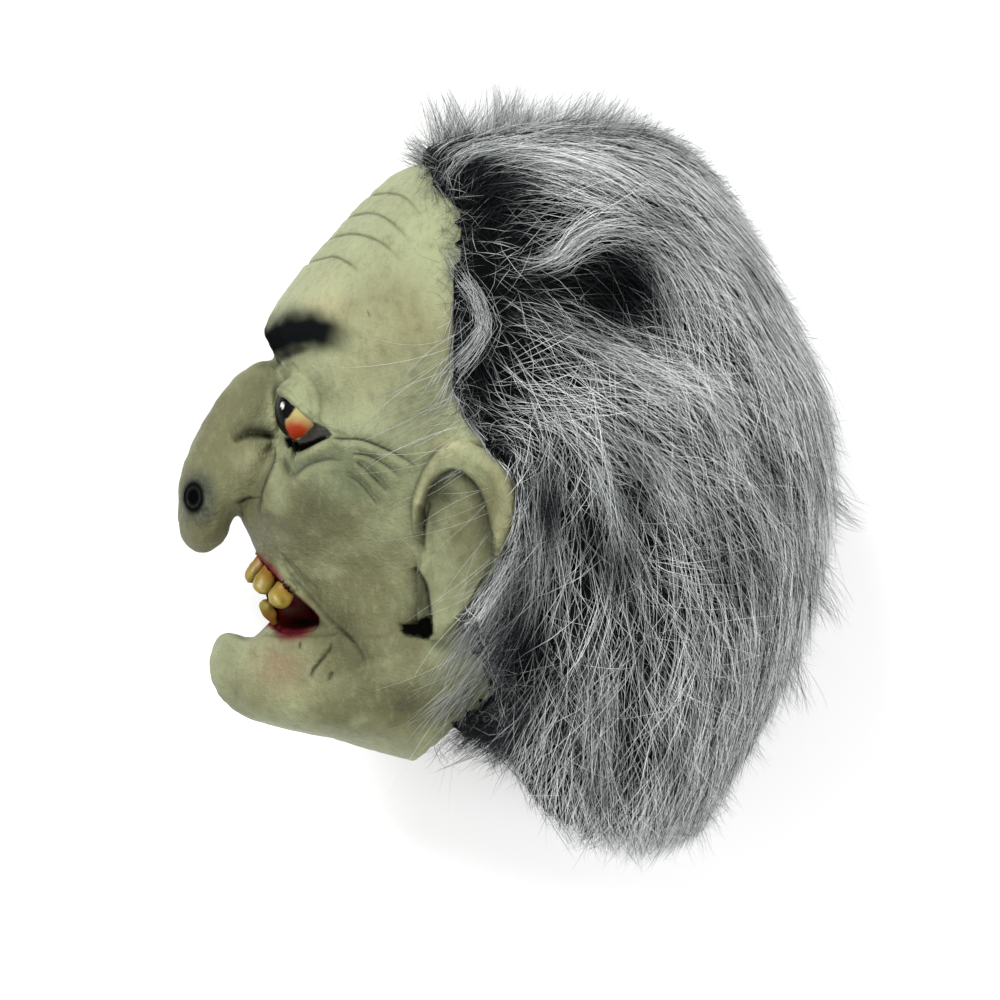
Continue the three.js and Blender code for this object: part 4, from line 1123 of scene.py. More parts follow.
class GHOUL_OT_teeth(Operator):
    """Model the painted teeth over the cast ones"""

    bl_idname = "ghoul.teeth"
    bl_label = "Teeth"

    def execute(self, context):
        material = tooth_material(context.scene.ghoul_paint)
        angles = np.arange(TOOTH_SIDES) * 2 * math.pi / TOOTH_SIDES
        for number, tooth in enumerate(TEETH, 1):
            for side, label in ((1, "left"), (-1, "right")):
                t = np.linspace(0, 1, TOOTH_RINGS + 1)
                blunt = np.sqrt(np.clip(1 - np.clip((t - TOOTH_BLUNT) / 0.28, 0, 1) ** 2.2, 0, 1))
                swell = (0.66 + 0.44 * ease(0.1, 0.66, t)) * blunt
                root, tip = np.array(tooth["root"]), np.array(tooth["tip"])
                flat = root + (tip - root) * t[:, None]
                away = (tip - root) / np.linalg.norm(tip - root)
                slant = min(TOOTH_SLANT, tooth["side"] - 2)
                axis = np.column_stack([flat, side * (tooth["side"] - slant * (1 - t))])
                flattened = TOOTH_FLATNESS * np.sin(angles)
                round_ = np.stack([-np.cos(angles) * away[1], np.cos(angles) * away[0], flattened], 1)
                rings = axis[1:-1, None] + round_[None] * (swell * tooth["girth"])[1:-1, None, None]
                points = np.vstack([rings.reshape(-1, 3), axis[:1], axis[-1:]])
                points += 0.4 * noise(points, 5, 20 + number)[:, None] * (1, 0.3, 1)
                share = (points[:, :2] - root) @ away / np.linalg.norm(tip - root)
                points = points * MM + (0, 0, MIDDLE)
                obj = mesh_object(f"tooth_{number}_{label}", points, tube_faces(TOOTH_RINGS - 1, TOOTH_SIDES))
                only(obj)
                bpy.ops.object.mode_set(mode="EDIT")
                bpy.ops.mesh.select_all(action="SELECT")
                bpy.ops.mesh.normals_make_consistent(inside=False)
                bpy.ops.object.mode_set(mode="OBJECT")
                set_attribute(obj.data, "root", ease(0.75, 0.3, share) * 0.7)
                place_piece(obj, material)
        return {"FINISHED"}


def tube_faces(rings, sides):
    """Quads round a tube of rings, and fans to the two end points that follow the rings."""
    ring, side = np.meshgrid(np.arange(rings - 1), np.arange(sides), indexing="ij")
    after = (side + 1) % sides
    quads = np.stack([ring * sides + side, ring * sides + after, (ring + 1) * sides + after,
                      (ring + 1) * sides + side], 2).reshape(-1, 4)
    round_ = np.arange(sides)
    after = (round_ + 1) % sides
    top = np.stack([np.full(sides, rings * sides), after, round_], 1)
    last = (rings - 1) * sides
    end = np.stack([np.full(sides, rings * sides + 1), last + round_, last + after], 1)
    return [quads, np.vstack([top, end])]


class GHOUL_OT_backing(Operator):
    """Shape the dark under-fur over its backing, low at the hairline and full towards the back"""

    bl_idname = "ghoul.backing"
    bl_label = "Under-fur"

    def execute(self, context):
        obj = copy_of("fur_hair", "under_fur")
        spacing = context.scene.ghoul_shape.fur_spacing
        remesh(obj, spacing)
        relax(obj.data, 6)
        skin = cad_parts["latex_mask"].data
        skin_tree = tree_of(points_of(skin), faces_of(skin))
        p, n = points_of(obj.data), normals_of(obj.data)
        found = [skin_tree.find_nearest(q) for q in p]
        foot = np.array([hit[0] for hit in found])
        height = np.array([hit[3] for hit in found])
        x, y, _ = profile(p)
        edge = hairline_distance(x, y)
        outer = (height > 2.5 * MM) & (np.einsum("ij,ij->i", n, p - foot) > 0.2 * height)
        inset = FUR_INSET + 1.5 * noise(p / MM, 26, 11)
        wanted = np.clip(np.minimum(height / MM - inset, 1.5 + 0.6 * edge), 1.2, None) * MM
        lowered = foot + (p - foot) * (wanted / np.maximum(height, MM))[:, None]
        sunk = p - n * inset[:, None] * MM
        far = ease(25 * MM, 45 * MM, height)[:, None]
        move_points(obj.data, np.where(outer[:, None], lowered * (1 - far) + sunk * far, p))
        remesh(obj, spacing)
        relax(obj.data, 4)
        p = points_of(obj.data)
        p[:, 2] = np.maximum(p[:, 2], 0.4 * MM)
        x, y, _ = profile(p)
        ring = np.vstack([BARE, BARE[:1]])
        gap, at, _ = curve_distance(x, y, ring)
        bare = inside_outline(x, y, BARE) & (gap > RING_REACH)
        p[bare] = [inside_wall(Vector(q), skin_tree) for q in p[bare]]
        for axis in (0, 1):
            snapped = np.interp(at * len(BARE), np.arange(len(ring)), ring[:, axis]) * MM
            p[:, axis] = np.where(gap <= RING_REACH, snapped, p[:, axis])
        move_points(obj.data, p)
        set_attribute(obj.data, "tone", np.clip(0.02 * noise(p / MM, 7, 12), 0, 1))
        place_piece(obj, fur_material(context.scene.ghoul_paint), "fur_hair")
        return {"FINISHED"}


def inside_wall(point, skin_tree):
    """A place inside the latex wall, straight across the mask from a point."""
    across = Vector((0, 0, math.copysign(1, point.z - MIDDLE)))
    hit = skin_tree.ray_cast(Vector((point.x, point.y, MIDDLE)), across)[0]
    if hit:
        return hit + across * WALL_DEPTH * MM
    place, normal = skin_tree.find_nearest(point)[:2]
    return place - normal * WALL_DEPTH * MM


def hairline_distance(x, y):
    """How far points in profile are from the hairline."""
    return curve_distance(x, y, smooth_curve(HAIRLINE, 4))[0]


def comb_grid():
    """The combed way of the hair on a grid in profile."""
    gx, gy = np.meshgrid(*[np.arange(low, high, COMB_CELL) for low, high in zip(COMB_LOW, COMB_HIGH)],
                         indexing="ij")
    total = np.zeros((*gx.shape, 2))
    for lock in COMBED:
        curve = smooth_curve(lock, 4)[:, :2]
        step = np.diff(curve, axis=0)
        middle = (curve[1:] + curve[:-1]) / 2
        for at, way in zip(middle, step):
            weight = 1 / ((gx - at[0]) ** 2 + (gy - at[1]) ** 2 + 80) ** 1.6
            total += weight[:, :, None] * way
    return total / np.linalg.norm(total, axis=2)[:, :, None]


def comb_way(grid, p):
    """The combed way at points, read from the grid."""
    cells = [np.clip(((p[:, axis] / MM - COMB_LOW[axis]) / COMB_CELL).round().astype(int),
                     0, grid.shape[axis] - 1) for axis in (0, 1)]
    return grid[tuple(cells)]


def scatter(points, faces, count, rng, weights):
    """Random places on triangles, more where the weights are high, and the triangles' indices."""
    corners = points[faces]
    area = np.linalg.norm(np.cross(corners[:, 1] - corners[:, 0], corners[:, 2] - corners[:, 0]), axis=1)
    chance = area * weights
    pick = rng.choice(len(faces), count, p=chance / chance.sum())
    u, v = rng.random((2, count))
    over = u + v > 1
    u[over], v[over] = 1 - u[over], 1 - v[over]
    a, b, c = corners[pick].transpose(1, 0, 2)
    return a + (b - a) * u[:, None] + (c - a) * v[:, None], pick


def grow(roots, lengths, turn, curl, lift, power, tree, grid):
    """Combs strands over the under-fur: they follow the combed way on it and rise from it by their lift."""
    steps = PILE_STEPS * 2
    paths = np.empty((len(roots), steps + 1, 3))
    p = roots.copy()
    normal = np.array([tree.find_nearest(q)[1] for q in p])
    way = np.zeros_like(p)
    stride = lengths / steps
    for k in range(steps + 1):
        t = k / steps
        paths[:, k] = p + normal * (lift * t**power)[:, None]
        flow = comb_way(grid, p)
        bend = turn * (1 - 0.4 * t) + curl * t
        flow = np.stack([flow[:, 0] * np.cos(bend) - flow[:, 1] * np.sin(bend),
                         flow[:, 0] * np.sin(bend) + flow[:, 1] * np.cos(bend), np.zeros(len(p))], 1)
        flow -= normal * np.einsum("ij,ij->i", flow, normal)[:, None]
        size = np.linalg.norm(flow, axis=1)
        fresh = flow / np.maximum(size, 1e-6)[:, None]
        way = np.where(size[:, None] > 0.15, fresh + 0.5 * way, way + 0.2 * fresh)
        way /= np.maximum(np.linalg.norm(way, axis=1), 1e-6)[:, None]
        goal = p + way * stride[:, None]
        found = [tree.find_nearest(q) for q in goal]
        held = np.array([hit[0] for hit in found])
        loose = np.array([hit[3] for hit in found]) > 0.35 * stride
        loose &= goal[:, 1] < LOOSE_BELOW * MM
        fresh_normal = np.array([hit[1] for hit in found])
        normal = np.where(loose[:, None], normal, normal * 0.4 + fresh_normal * 0.6)
        normal /= np.linalg.norm(normal, axis=1)[:, None]
        p = np.where(loose[:, None], goal, held)
    return paths[:, ::2]


def trim(paths, room):
    """Shortens strands so that none reaches further past the hair's lower edge than its room."""
    x, y = paths[:, :, 0] / MM, paths[:, :, 1] / MM
    spare = y - np.interp(x, HEM[:, 0], HEM[:, 1]) + room[:, None]
    steps = paths.shape[1] - 1
    rows = np.arange(len(paths))
    out = spare < 0
    first = np.where(out.any(1), out.argmax(1), steps + 1)
    last = np.clip(first - 1, 0, steps)
    here, there = spare[rows, last], spare[rows, np.minimum(first, steps)]
    share = np.where(first <= steps, last + here / np.maximum(here - there, 1e-6), steps) / steps
    at = np.linspace(0, steps, steps + 1)[None] * np.clip(share, 0.1, 1)[:, None]
    low = np.clip(np.floor(at).astype(int), 0, steps - 1)
    part = (at - low)[:, :, None]
    return paths[rows[:, None], low] * (1 - part) + paths[rows[:, None], low + 1] * part


def strand_taper(share):
    """A strand's width along it, as a share of its full width."""
    return 0.75 + 0.25 * ease(0, 0.3, share) - 0.6 * ease(0.5, 1, share)


def strand_object(name, paths, widths, tones):
    """One mesh of thin three-sided strands that taper to a point."""
    count, rings = paths.shape[0], paths.shape[1] - 1
    way = np.gradient(paths, axis=1)
    way /= np.maximum(np.linalg.norm(way, axis=2), 1e-9)[:, :, None]
    across = np.cross(way, np.broadcast_to((0.13, 0.21, 0.97), way.shape))
    across /= np.maximum(np.linalg.norm(across, axis=2), 1e-6)[:, :, None]
    over = np.cross(across, way)
    taper = strand_taper(np.linspace(0, 1, rings + 1))
    radius = widths[:, None] * taper[None, :] * MM / 2
    points = np.empty((count, rings * 3 + 1, 3))
    for corner in range(3):
        angle = corner * 2 * math.pi / 3 + math.pi / 2
        offset = (across * math.cos(angle) + over * math.sin(angle)) * radius[:, :, None]
        points[:, corner : rings * 3 : 3] = (paths + offset)[:, :rings]
    points[:, -1] = paths[:, -1]
    points[:, :, 2] = np.maximum(points[:, :, 2], 0.3 * MM)
    ring, side = np.meshgrid(np.arange(rings - 1), np.arange(3), indexing="ij")
    after = (side + 1) % 3
    quads = np.stack([ring * 3 + side, ring * 3 + after, (ring + 1) * 3 + after, (ring + 1) * 3 + side], 2)
    last = (rings - 1) * 3
    ends = np.array([[2, 1, 0], [last, last + 1, rings * 3], [last + 1, last + 2, rings * 3],
                     [last + 2, last, rings * 3]])
    base = (np.arange(count) * (rings * 3 + 1))[:, None, None]
    obj = mesh_object(name, points.reshape(-1, 3), [
        (quads.reshape(1, -1, 4) + base).reshape(-1, 4), (ends[None] + base).reshape(-1, 3)])
    tone = np.concatenate([np.repeat(tones[:, :rings], 3, axis=1), tones[:, rings:]], axis=1)
    set_attribute(obj.data, "tone", tone.ravel())
    return obj


def held_in(paths):
    """Shortens strands that would reach past the room that the hair may take."""
    root, span = paths[:, :1], paths - paths[:, :1]
    room = np.where(span > 0, HAIR_HIGH - root, root - HAIR_LOW)
    share = room / np.maximum(abs(span), 1e-9)
    return root + span * np.clip(share.min((1, 2)), 0.05, 1)[:, None, None]


def across_of(flat):
    """The way across a path in profile at each of its points."""
    side = np.gradient(flat, axis=0)[:, ::-1] * (-1, 1)
    return side / np.linalg.norm(side, axis=1)[:, None]


def beside(at, share, flat, side, shift):
    """Points in metres at a shift to the side of a path in profile."""
    return np.stack([np.interp(at, share, flat[:, axis]) + np.interp(at, share, side[:, axis]) * shift
                     for axis in (0, 1)], 1) * MM


def bridge(z, rounds):
    """Lifts strands so that they span the dips of what lies under them."""
    for _ in range(rounds):
        z[:, 1:-1] = np.maximum(z[:, 1:-1], (z[:, :-2] + z[:, 2:]) / 2)


def bundle(path, width, count, tree, lift, rng, swing=0.16):
    """The strands of one lock along a path in profile, laid over what lies under it on the left side."""
    curve = smooth_curve(path, 6)
    run = np.concatenate([[0], np.cumsum(np.linalg.norm(np.diff(curve, axis=0), axis=1))])
    share = np.linspace(0, 1, LOCK_STEPS + 1)
    flat = np.stack([np.interp(share * run[-1], run, curve[:, axis]) for axis in (0, 1)], 1)
    side = across_of(flat)
    start = rng.uniform(0, 0.35, count)
    reach = rng.uniform(0.5, 1.0, count) * (1 - start)
    offset = rng.normal(size=count) * width * 0.5
    cross = rng.normal(size=count) * swing * run[-1]
    phase = rng.uniform(0, 6, count)
    paths = np.empty((count, LOCK_STEPS + 1, 3))
    for k in range(LOCK_STEPS + 1):
        at = start + reach * share[k]
        spread = 0.4 + 0.9 * np.sin(math.pi * np.minimum(at * 0.8, 1))
        shift = offset * spread + cross * (share[k] - 0.4) * reach + 0.8 * np.sin(4 * share[k] + phase)
        paths[:, k, :2] = beside(at, share, flat, side, shift)
        paths[:, k, 2] = lay_on(tree, paths[:, k])
    fill_gaps(paths, share)
    z = paths[:, :, 2]
    bridge(z, 1)
    rise = lift * np.sin(math.pi * np.clip(share * 0.8 + 0.08, 0, 1)) * MM
    paths[:, :, 2] = z + rise * rng.uniform(0.35, 1.2, count)[:, None]
    return paths


def lay_on(tree, p):
    """The height of what lies under each point on the left side, or nan where nothing does."""
    heights = np.full(len(p), np.nan)
    for i, (x, y) in enumerate(p[:, :2]):
        hit = tree.ray_cast(Vector((x, y, 1)), Vector((0, 0, -1)))[0]
        if hit and hit.z > MIDDLE:
            heights[i] = hit.z
    return heights


def fill_gaps(paths, share):
    """Gives strands a height where nothing lies under them."""
    for path in paths:
        known = ~np.isnan(path[:, 2])
        path[:, 2] = np.interp(share, share[known], path[known, 2]) if known.any() else MIDDLE


def tuft(path, count, width, depth, rng):
    """A tuft that stands off the skyline, spread through the mask's thickness."""
    curve = smooth_curve(path, 6)
    share = np.linspace(0, 1, PILE_STEPS + 1)
    rows = np.linspace(0, 1, len(curve))
    flat = np.stack([np.interp(share, rows, curve[:, axis]) for axis in (0, 1)], 1)
    side = across_of(flat)
    long = rng.uniform(0.45, 1.05, count)
    offset = rng.normal(size=count) * width * 1.3
    fan = rng.normal(size=count) * width * 1.4
    z = MIDDLE + rng.normal(size=count) * depth * MM + 8 * MM
    paths = np.empty((count, PILE_STEPS + 1, 3))
    for k in range(PILE_STEPS + 1):
        at = share[k] * long
        shift = offset * (1 - 0.75 * share[k]) + fan * share[k] * (1 - 0.5 * share[k])
        paths[:, k, :2] = beside(at, share, flat, side, shift)
        paths[:, k, 2] = z + (z - MIDDLE) * 0.15 * share[k]
    return paths


def strays(tree, rng):
    """Long single hairs that trail from the hairline down over the cheek, the ear and the jaw."""
    line = np.array(STRAY_ROOTS)
    share = np.linspace(0, 1, LOCK_STEPS + 1)
    paths = np.empty((STRAYS, LOCK_STEPS + 1, 3))
    for i in range(STRAYS):
        at = (len(line) - 1) * (1 - rng.uniform(0, 1) ** 1.5)
        x = np.interp(at, np.arange(len(line)), line[:, 0]) + rng.uniform(-2, 6)
        y = np.interp(at, np.arange(len(line)), line[:, 1]) + rng.uniform(-6, 6)
        angle = math.radians(rng.normal(208 if y > -15 else 228, 10))
        bend = rng.normal(0, 0.35)
        length = rng.uniform(15, 75) * (1 if y > -90 else 0.45)
        for k, t in enumerate(share):
            paths[i, k, :2] = x * MM, y * MM
            x += length / LOCK_STEPS * math.cos(angle + bend * t)
            y += length / LOCK_STEPS * math.sin(angle + bend * t)
        paths[i, :, 2] = lay_on(tree, paths[i])
    fill_gaps(paths, share)
    z = paths[:, :, 2]
    bridge(z, 2)
    z += rng.uniform(0.4, 2.5, STRAYS)[:, None] * MM
    return paths


def fringe(tree, rng):
    """Short hairs along the hairline, some of them over the skin."""
    count = quick_or_full(FRINGE_HAIRS)
    line = smooth_curve(HAIRLINE, 4)
    at = rng.uniform(0, 1, count) * (len(line) - 1)
    rows = np.arange(len(line))
    x = np.interp(at, rows, line[:, 0]) + rng.normal(1.5, 2.2, count)
    y = np.interp(at, rows, line[:, 1]) + rng.normal(0, 2, count)
    angle = rng.normal(-0.5, 1.0, count)
    bend = rng.normal(0, 0.9, count)
    length = rng.uniform(4, 17, count)
    paths = np.empty((count, LOCK_STEPS + 1, 3))
    for k in range(LOCK_STEPS + 1):
        paths[:, k, 0], paths[:, k, 1] = x * MM, y * MM
        paths[:, k, 2] = lay_on(tree, paths[:, k])
        x = x + length / LOCK_STEPS * np.cos(angle + bend * k / LOCK_STEPS)
        y = y + length / LOCK_STEPS * np.sin(angle + bend * k / LOCK_STEPS)
    share = np.linspace(0, 1, LOCK_STEPS + 1)
    fill_gaps(paths, share)
    z = paths[:, :, 2]
    bridge(z, 2)
    z += (0.2 + np.outer(rng.uniform(0.5, 5, count), share)) * MM
    return paths


class GHOUL_OT_hair(Operator):
    """Comb the long pile over the under-fur, with its silver locks and stray hairs"""

    bl_idname = "ghoul.hair"
    bl_label = "Hair"

    def execute(self, context):
        rng = np.random.default_rng(SEED)
        under = bpy.data.objects["under_fur"].data
        material = under.materials[0]
        p = points_of(under)
        under.calc_loop_triangles()
        flat = np.empty(len(under.loop_triangles) * 3, np.int32)
        under.loop_triangles.foreach_get("vertices", flat)
        faces = flat.reshape(-1, 3)
        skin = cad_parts["latex_mask"].data
        skin_points, skin_faces = points_of(skin), faces_of(skin)
        centre = p[faces].mean(1)
        normal = np.cross(p[faces[:, 1]] - p[faces[:, 0]], p[faces[:, 2]] - p[faces[:, 0]])
        normal /= np.maximum(np.linalg.norm(normal, axis=1), 1e-12)[:, None]
        from_axis = (centre - np.array([0.02, 0, MIDDLE])) * (1, 0.3, 1)
        x, y, _ = profile(centre)
        outer = gap_to(tree_of(skin_points, skin_faces), centre) > 1.0 * MM
        outer &= (np.einsum("ij,ij->i", normal, from_axis) > 0) & ~inside_outline(x, y, BARE)
        ground = {"points": p, "faces": faces[outer], "centres": centre[outer], "normals": normal[outer],
                  "tree": tree_of(p, faces[outer]), "grid": comb_grid()}
        self.add_pile(ground, context.scene.ghoul_shape.strands, material, rng)
        self.add_locks(ground["tree"], material, rng)
        self.add_fuzz(ground, material, rng)
        self.add_tufts(material, rng)
        over_skin = [tuple(face) for face in ground["faces"] + len(skin_points)]
        self.add_strays(tree_of(np.vstack([skin_points, p]), skin_faces + over_skin), material, rng)
        return {"FINISHED"}

    def add_pile(self, ground, strands, material, rng):
        """The long pile, combed over the under-fur, thin over the hollows and plainer on the right side."""
        count = int(strands * quick_or_full(1))
        weight = np.where(ground["centres"][:, 2] > MIDDLE - 0.02, 1.0, 0.2)
        roots, pick = scatter(ground["points"], ground["faces"], count, rng, weight)
        x, y, _ = profile(roots)
        edge = hairline_distance(x, y)
        lengths = rng.uniform(0.5, 1.15, count) * (PILE_LENGTH + PILE_GAIN * ease(0, 45, edge)) * MM
        open_share = strongest_spot(HOLLOWS, x, y) * (roots[:, 2] > MIDDLE)
        turn = (0.46 + 0.55 * open_share) * rng.normal(size=count) + 0.3 * noise(roots / MM, 24, 31)
        curl = 0.6 * rng.normal(size=count)
        flies = rng.random(count) < FLYING_SHARE
        flying = rng.uniform(0.4, 1.0, count) * FLYING_LIFT
        lying = rng.uniform(0.1, 1.0, count) * LYING_LIFT
        lift = np.where(flies, flying, lying) * (0.3 + 0.7 * ease(0, 26, edge)) * MM
        power = np.where(flies, 1.7, 0.7)
        roots = roots - ground["normals"][pick] * 1.0 * MM
        paths = grow(roots, lengths, turn, curl, lift, power, ground["tree"], ground["grid"])
        paths = gather(paths, max(LEAST_GUIDES, count // STRANDS_A_GUIDE), rng)
        paths = trim(paths, rng.normal(1, 3.5, count))
        over = strongest_spot(HOLLOWS, paths[:, 1:, 0] / MM, paths[:, 1:, 1] / MM).max(1)
        kept = (rng.random(count) > 0.55 * over) | (roots[:, 2] < MIDDLE)
        paths, roots = paths[kept], roots[kept]
        count = len(paths)
        bright = rng.random(count) < BRIGHT_SHARE
        peak = np.where(bright, rng.uniform(0.75, 1.1, count), rng.uniform(0.08, 0.45, count))
        peak = np.clip(peak + 0.14 * noise(roots / MM, 30, 33), 0.05, 1.1)
        rising = ease(0.02, 0.6, np.linspace(0, 1, PILE_STEPS + 1))
        tones = self.toned(paths, peak[:, None] * rising[None, :], rng)
        widths = rng.uniform(0.17, 0.3, count) * np.where(roots[:, 2] < MIDDLE - 0.02, 1.8, 1)
        groups = max(1, math.ceil(count / STRANDS_A_PIECE))
        order = np.argsort(roots[:, 2] + 0.3 * roots[:, 1])
        for number, chosen in enumerate(np.array_split(order, groups), 1):
            obj = strand_object(f"pile_{number}", paths[chosen], widths[chosen], tones[chosen])
            place_piece(obj, material)

    def add_fuzz(self, ground, material, rng):
        """Fine short hairs that stand off the skyline."""
        count = quick_or_full(FUZZ_HAIRS)
        centres = ground["centres"]
        rim = np.clip(1 - 1.6 * abs(ground["normals"][:, 2]), 0, 1) ** 1.5
        rim = rim * ease(4, 16, skyline_depth(centres))
        crowded = rim * (1 + 1.5 * ease(90, 130, centres[:, 1] / MM))
        roots, pick = scatter(ground["points"], ground["faces"], count, rng, crowded)
        flow = np.column_stack([comb_way(ground["grid"], roots), np.zeros(count)])
        way = ground["normals"][pick] * rng.uniform(0.35, 1.1, count)[:, None]
        way = way + flow * rng.uniform(0.1, 1.0, count)[:, None]
        way += 0.35 * rng.normal(size=(count, 3)) * (1, 1, 0.5)
        way /= np.linalg.norm(way, axis=1)[:, None]
        bend = 0.5 * rng.normal(size=(count, 3)) + 0.6 * flow
        high = ease(90, 130, roots[:, 1] / MM) * ease(90, 30, roots[:, 0] / MM)
        length = (rng.uniform(0.3, 1, count) * (17 + 9 * high))[:, None] * MM
        share = np.linspace(0, 1, FUZZ_STEPS + 1)
        hairs = held_in(np.stack([roots + length * (t * way + 0.35 * t * t * bend) for t in share], 1))
        shade = rng.uniform(0.3, 0.95, count)[:, None] * ease(-0.3, 0.5, share)[None, :]
        place_piece(strand_object("fuzz", hairs, rng.uniform(0.09, 0.17, count), shade), material)

    def add_strays(self, tree, material, rng):
        """The hairs that lie over the skin: long strays, the locks at the temple and jaw, and the fringe."""
        loose = strays(tree, rng)
        part = quick_or_full(1)
        locks = np.concatenate([bundle(TEMPLE_LOCK, 4.5, TEMPLE_HAIRS // part, tree, 2.0, rng, swing=0.1),
                                bundle(JAW_LOCK, 6, JAW_HAIRS // part, tree, 3.0, rng, swing=0.1)])
        short = fringe(tree, rng)
        found = np.concatenate([loose, locks, short])
        shade = rng.uniform(0.5, 0.92, len(found))[:, None] * np.ones(LOCK_STEPS + 1)[None, :]
        shade[len(loose) + len(locks) :] *= rng.uniform(0.15, 1, len(short))[:, None]
        width = np.concatenate([rng.uniform(0.08, 0.15, len(loose)), rng.uniform(0.14, 0.22, len(locks)),
                                rng.uniform(0.09, 0.16, len(short))])
        place_piece(strand_object("stray_hairs", found, width, shade), material)

    def toned(self, paths, tones, rng):
        """Darkens strands over the hollows, but for a few stray light ones, and frosts the pale places."""
        x, y = paths[:, :, 0] / MM, paths[:, :, 1] / MM
        left = (paths[:, :, 2] > MIDDLE - 0.01) * 1.0
        spared = rng.random(len(paths))[:, None]
        dark = strongest_spot(HOLLOWS, x, y) * left * (0.62 + 0.37 * ease(0.03, 0.5, spared))
        frost = 0.35 * strongest_spot(FROSTED, x, y) * left * (tones > 0.3)
        return np.clip(tones * (1 - dark) + frost, 0, 1)

    def add_locks(self, tree, material, rng):
        """The locks that stand out on the left side, and a few of their hairs mirrored to the right."""
        t = np.linspace(0, 1, LOCK_STEPS + 1)
        every, tones = [], []
        for lock in LOCKS:
            strands = int(lock["strands"] * quick_or_full(LOCK_SHARE))
            every.append(bundle(lock["path"], 1.7 * lock["width"], strands, tree, lock["lift"], rng))
            shade = lock["tone"] * rng.uniform(0.5, 1.35, strands)[:, None] * ease(-0.5, 0.35, t)[None, :]
            tones.append(np.clip(1.15 * shade, 0, 1))
        every, tones = np.concatenate(every), np.concatenate(tones)
        tones = self.toned(every, tones, rng)
        every = trim(every, rng.normal(1, 3, len(every)))
        mirrored = every * (1, 1, -1) + (0, 0, 2 * MIDDLE)
        keep = rng.random(len(every)) < RIGHT_LOCK_SHARE
        sides = [("locks_left", every, tones), ("locks_right", mirrored[keep], tones[keep])]
        for name, found, shade in sides:
            obj = strand_object(name, found, rng.uniform(0.16, 0.28, len(found)), shade)
            place_piece(obj, material)

    def add_tufts(self, material, rng):
        """The tufts that stand off the skyline."""
        t = np.linspace(0, 1, PILE_STEPS + 1)
        found = held_in(np.concatenate([tuft(*row, rng) for row in TUFTS]))
        shade = rng.uniform(0.35, 0.85, len(found))[:, None] * ease(-0.4, 0.6, t)[None, :]
        obj = strand_object("tufts", found, rng.uniform(0.12, 0.24, len(found)), shade)
        place_piece(obj, material)


def skyline_depth(points):
    """How far points lie behind the hairline in profile, in millimetres."""
    x, y, _ = profile(points)
    edge, _, left = curve_distance(x, y, smooth_curve(HAIRLINE, 4))
    return np.where(left > 0, edge, 0)


def gather(paths, count, rng):
    """Draws strands towards shared guides, so that the pile falls in small locks."""
    roots = paths[:, 0]
    guides = rng.choice(len(paths), count, replace=False)
    nearest = np.empty(len(paths), int)
    for start in range(0, len(paths), 2000):
        part = roots[start : start + 2000]
        gap = ((part[:, None] - roots[guides][None]) ** 2).sum(2)
        nearest[start : start + 2000] = guides[gap.argmin(1)]
    t = np.linspace(0, 1, paths.shape[1])
    pull = (rng.uniform(0.0, 0.45, len(paths))[:, None] * ease(0.05, 0.9, t)[None, :])[:, :, None]
    offset = (roots - roots[nearest])[:, None] * (1 - 0.75 * t)[None, :, None]
    return paths * (1 - pull) + (paths[nearest] + offset) * pull


class GHOUL_OT_stage(Operator):
    """Lay the pale floor and set the studio lights and the camera"""

    bl_idname = "ghoul.stage"
    bl_label = "Stage"

    def execute(self, context):
        scene = context.scene
        bpy.ops.object.select_all(action="DESELECT")
        bpy.ops.mesh.primitive_plane_add(size=FLOOR_SIZE, location=(0, 0, 0))
        floor = context.object
        floor.name = "floor"
        material, _, shader = new_material("matt_white_paper")
        shader.inputs["Base Color"].default_value = scene.ghoul_paint.floor
        shader.inputs["Roughness"].default_value = 0.9
        floor.data.materials.append(material)
        world = bpy.data.worlds.new("studio_air")
        world.use_nodes = True
        background = world.node_tree.nodes["Background"]
        background.inputs["Color"].default_value = (1, 1, 1, 1)
        background.inputs["Strength"].default_value = AIR_LIGHT
        scene.world = world
        for name, place, size, power in LIGHTS:
            lamp = bpy.data.lights.new(name, "AREA")
            lamp.shape = "DISK"
            lamp.size = size
            lamp.energy = power
            lamp_object = bpy.data.objects.new(name, lamp)
            lamp_object.location = place
            aim = Vector((0, 0, MIDDLE)) - Vector(place)
            lamp_object.rotation_euler = aim.to_track_quat("-Z", "Y").to_euler()
            scene.collection.objects.link(lamp_object)
        data = bpy.data.cameras.new("camera")
        data.sensor_width = SENSOR
        data.lens = SENSOR * CAMERA_HEIGHT / PICTURE_WIDTH
        data.clip_end = CAMERA_REACH
        camera = bpy.data.objects.new("camera", data)
        camera.location = (*CAMERA_AIM, MIDDLE + CAMERA_HEIGHT)
        scene.collection.objects.link(camera)
        scene.camera = camera
        scene.view_settings.view_transform = "Standard"
        return {"FINISHED"}


class GhoulShape(PropertyGroup):
    latex_spacing: FloatProperty(
        name="Latex mesh spacing", description="Distance between the vertices of the latex skin",
        default=0.0012, min=0.0008, max=0.004, unit="LENGTH")
    fur_spacing: FloatProperty(
        name="Under-fur mesh spacing", description="Distance between the vertices of the under-fur",
        default=0.0048, min=0.002, max=0.006, unit="LENGTH")
    strands: IntProperty(
        name="Strands", description="How many hairs the pile has", default=18200, min=2000, max=26000)


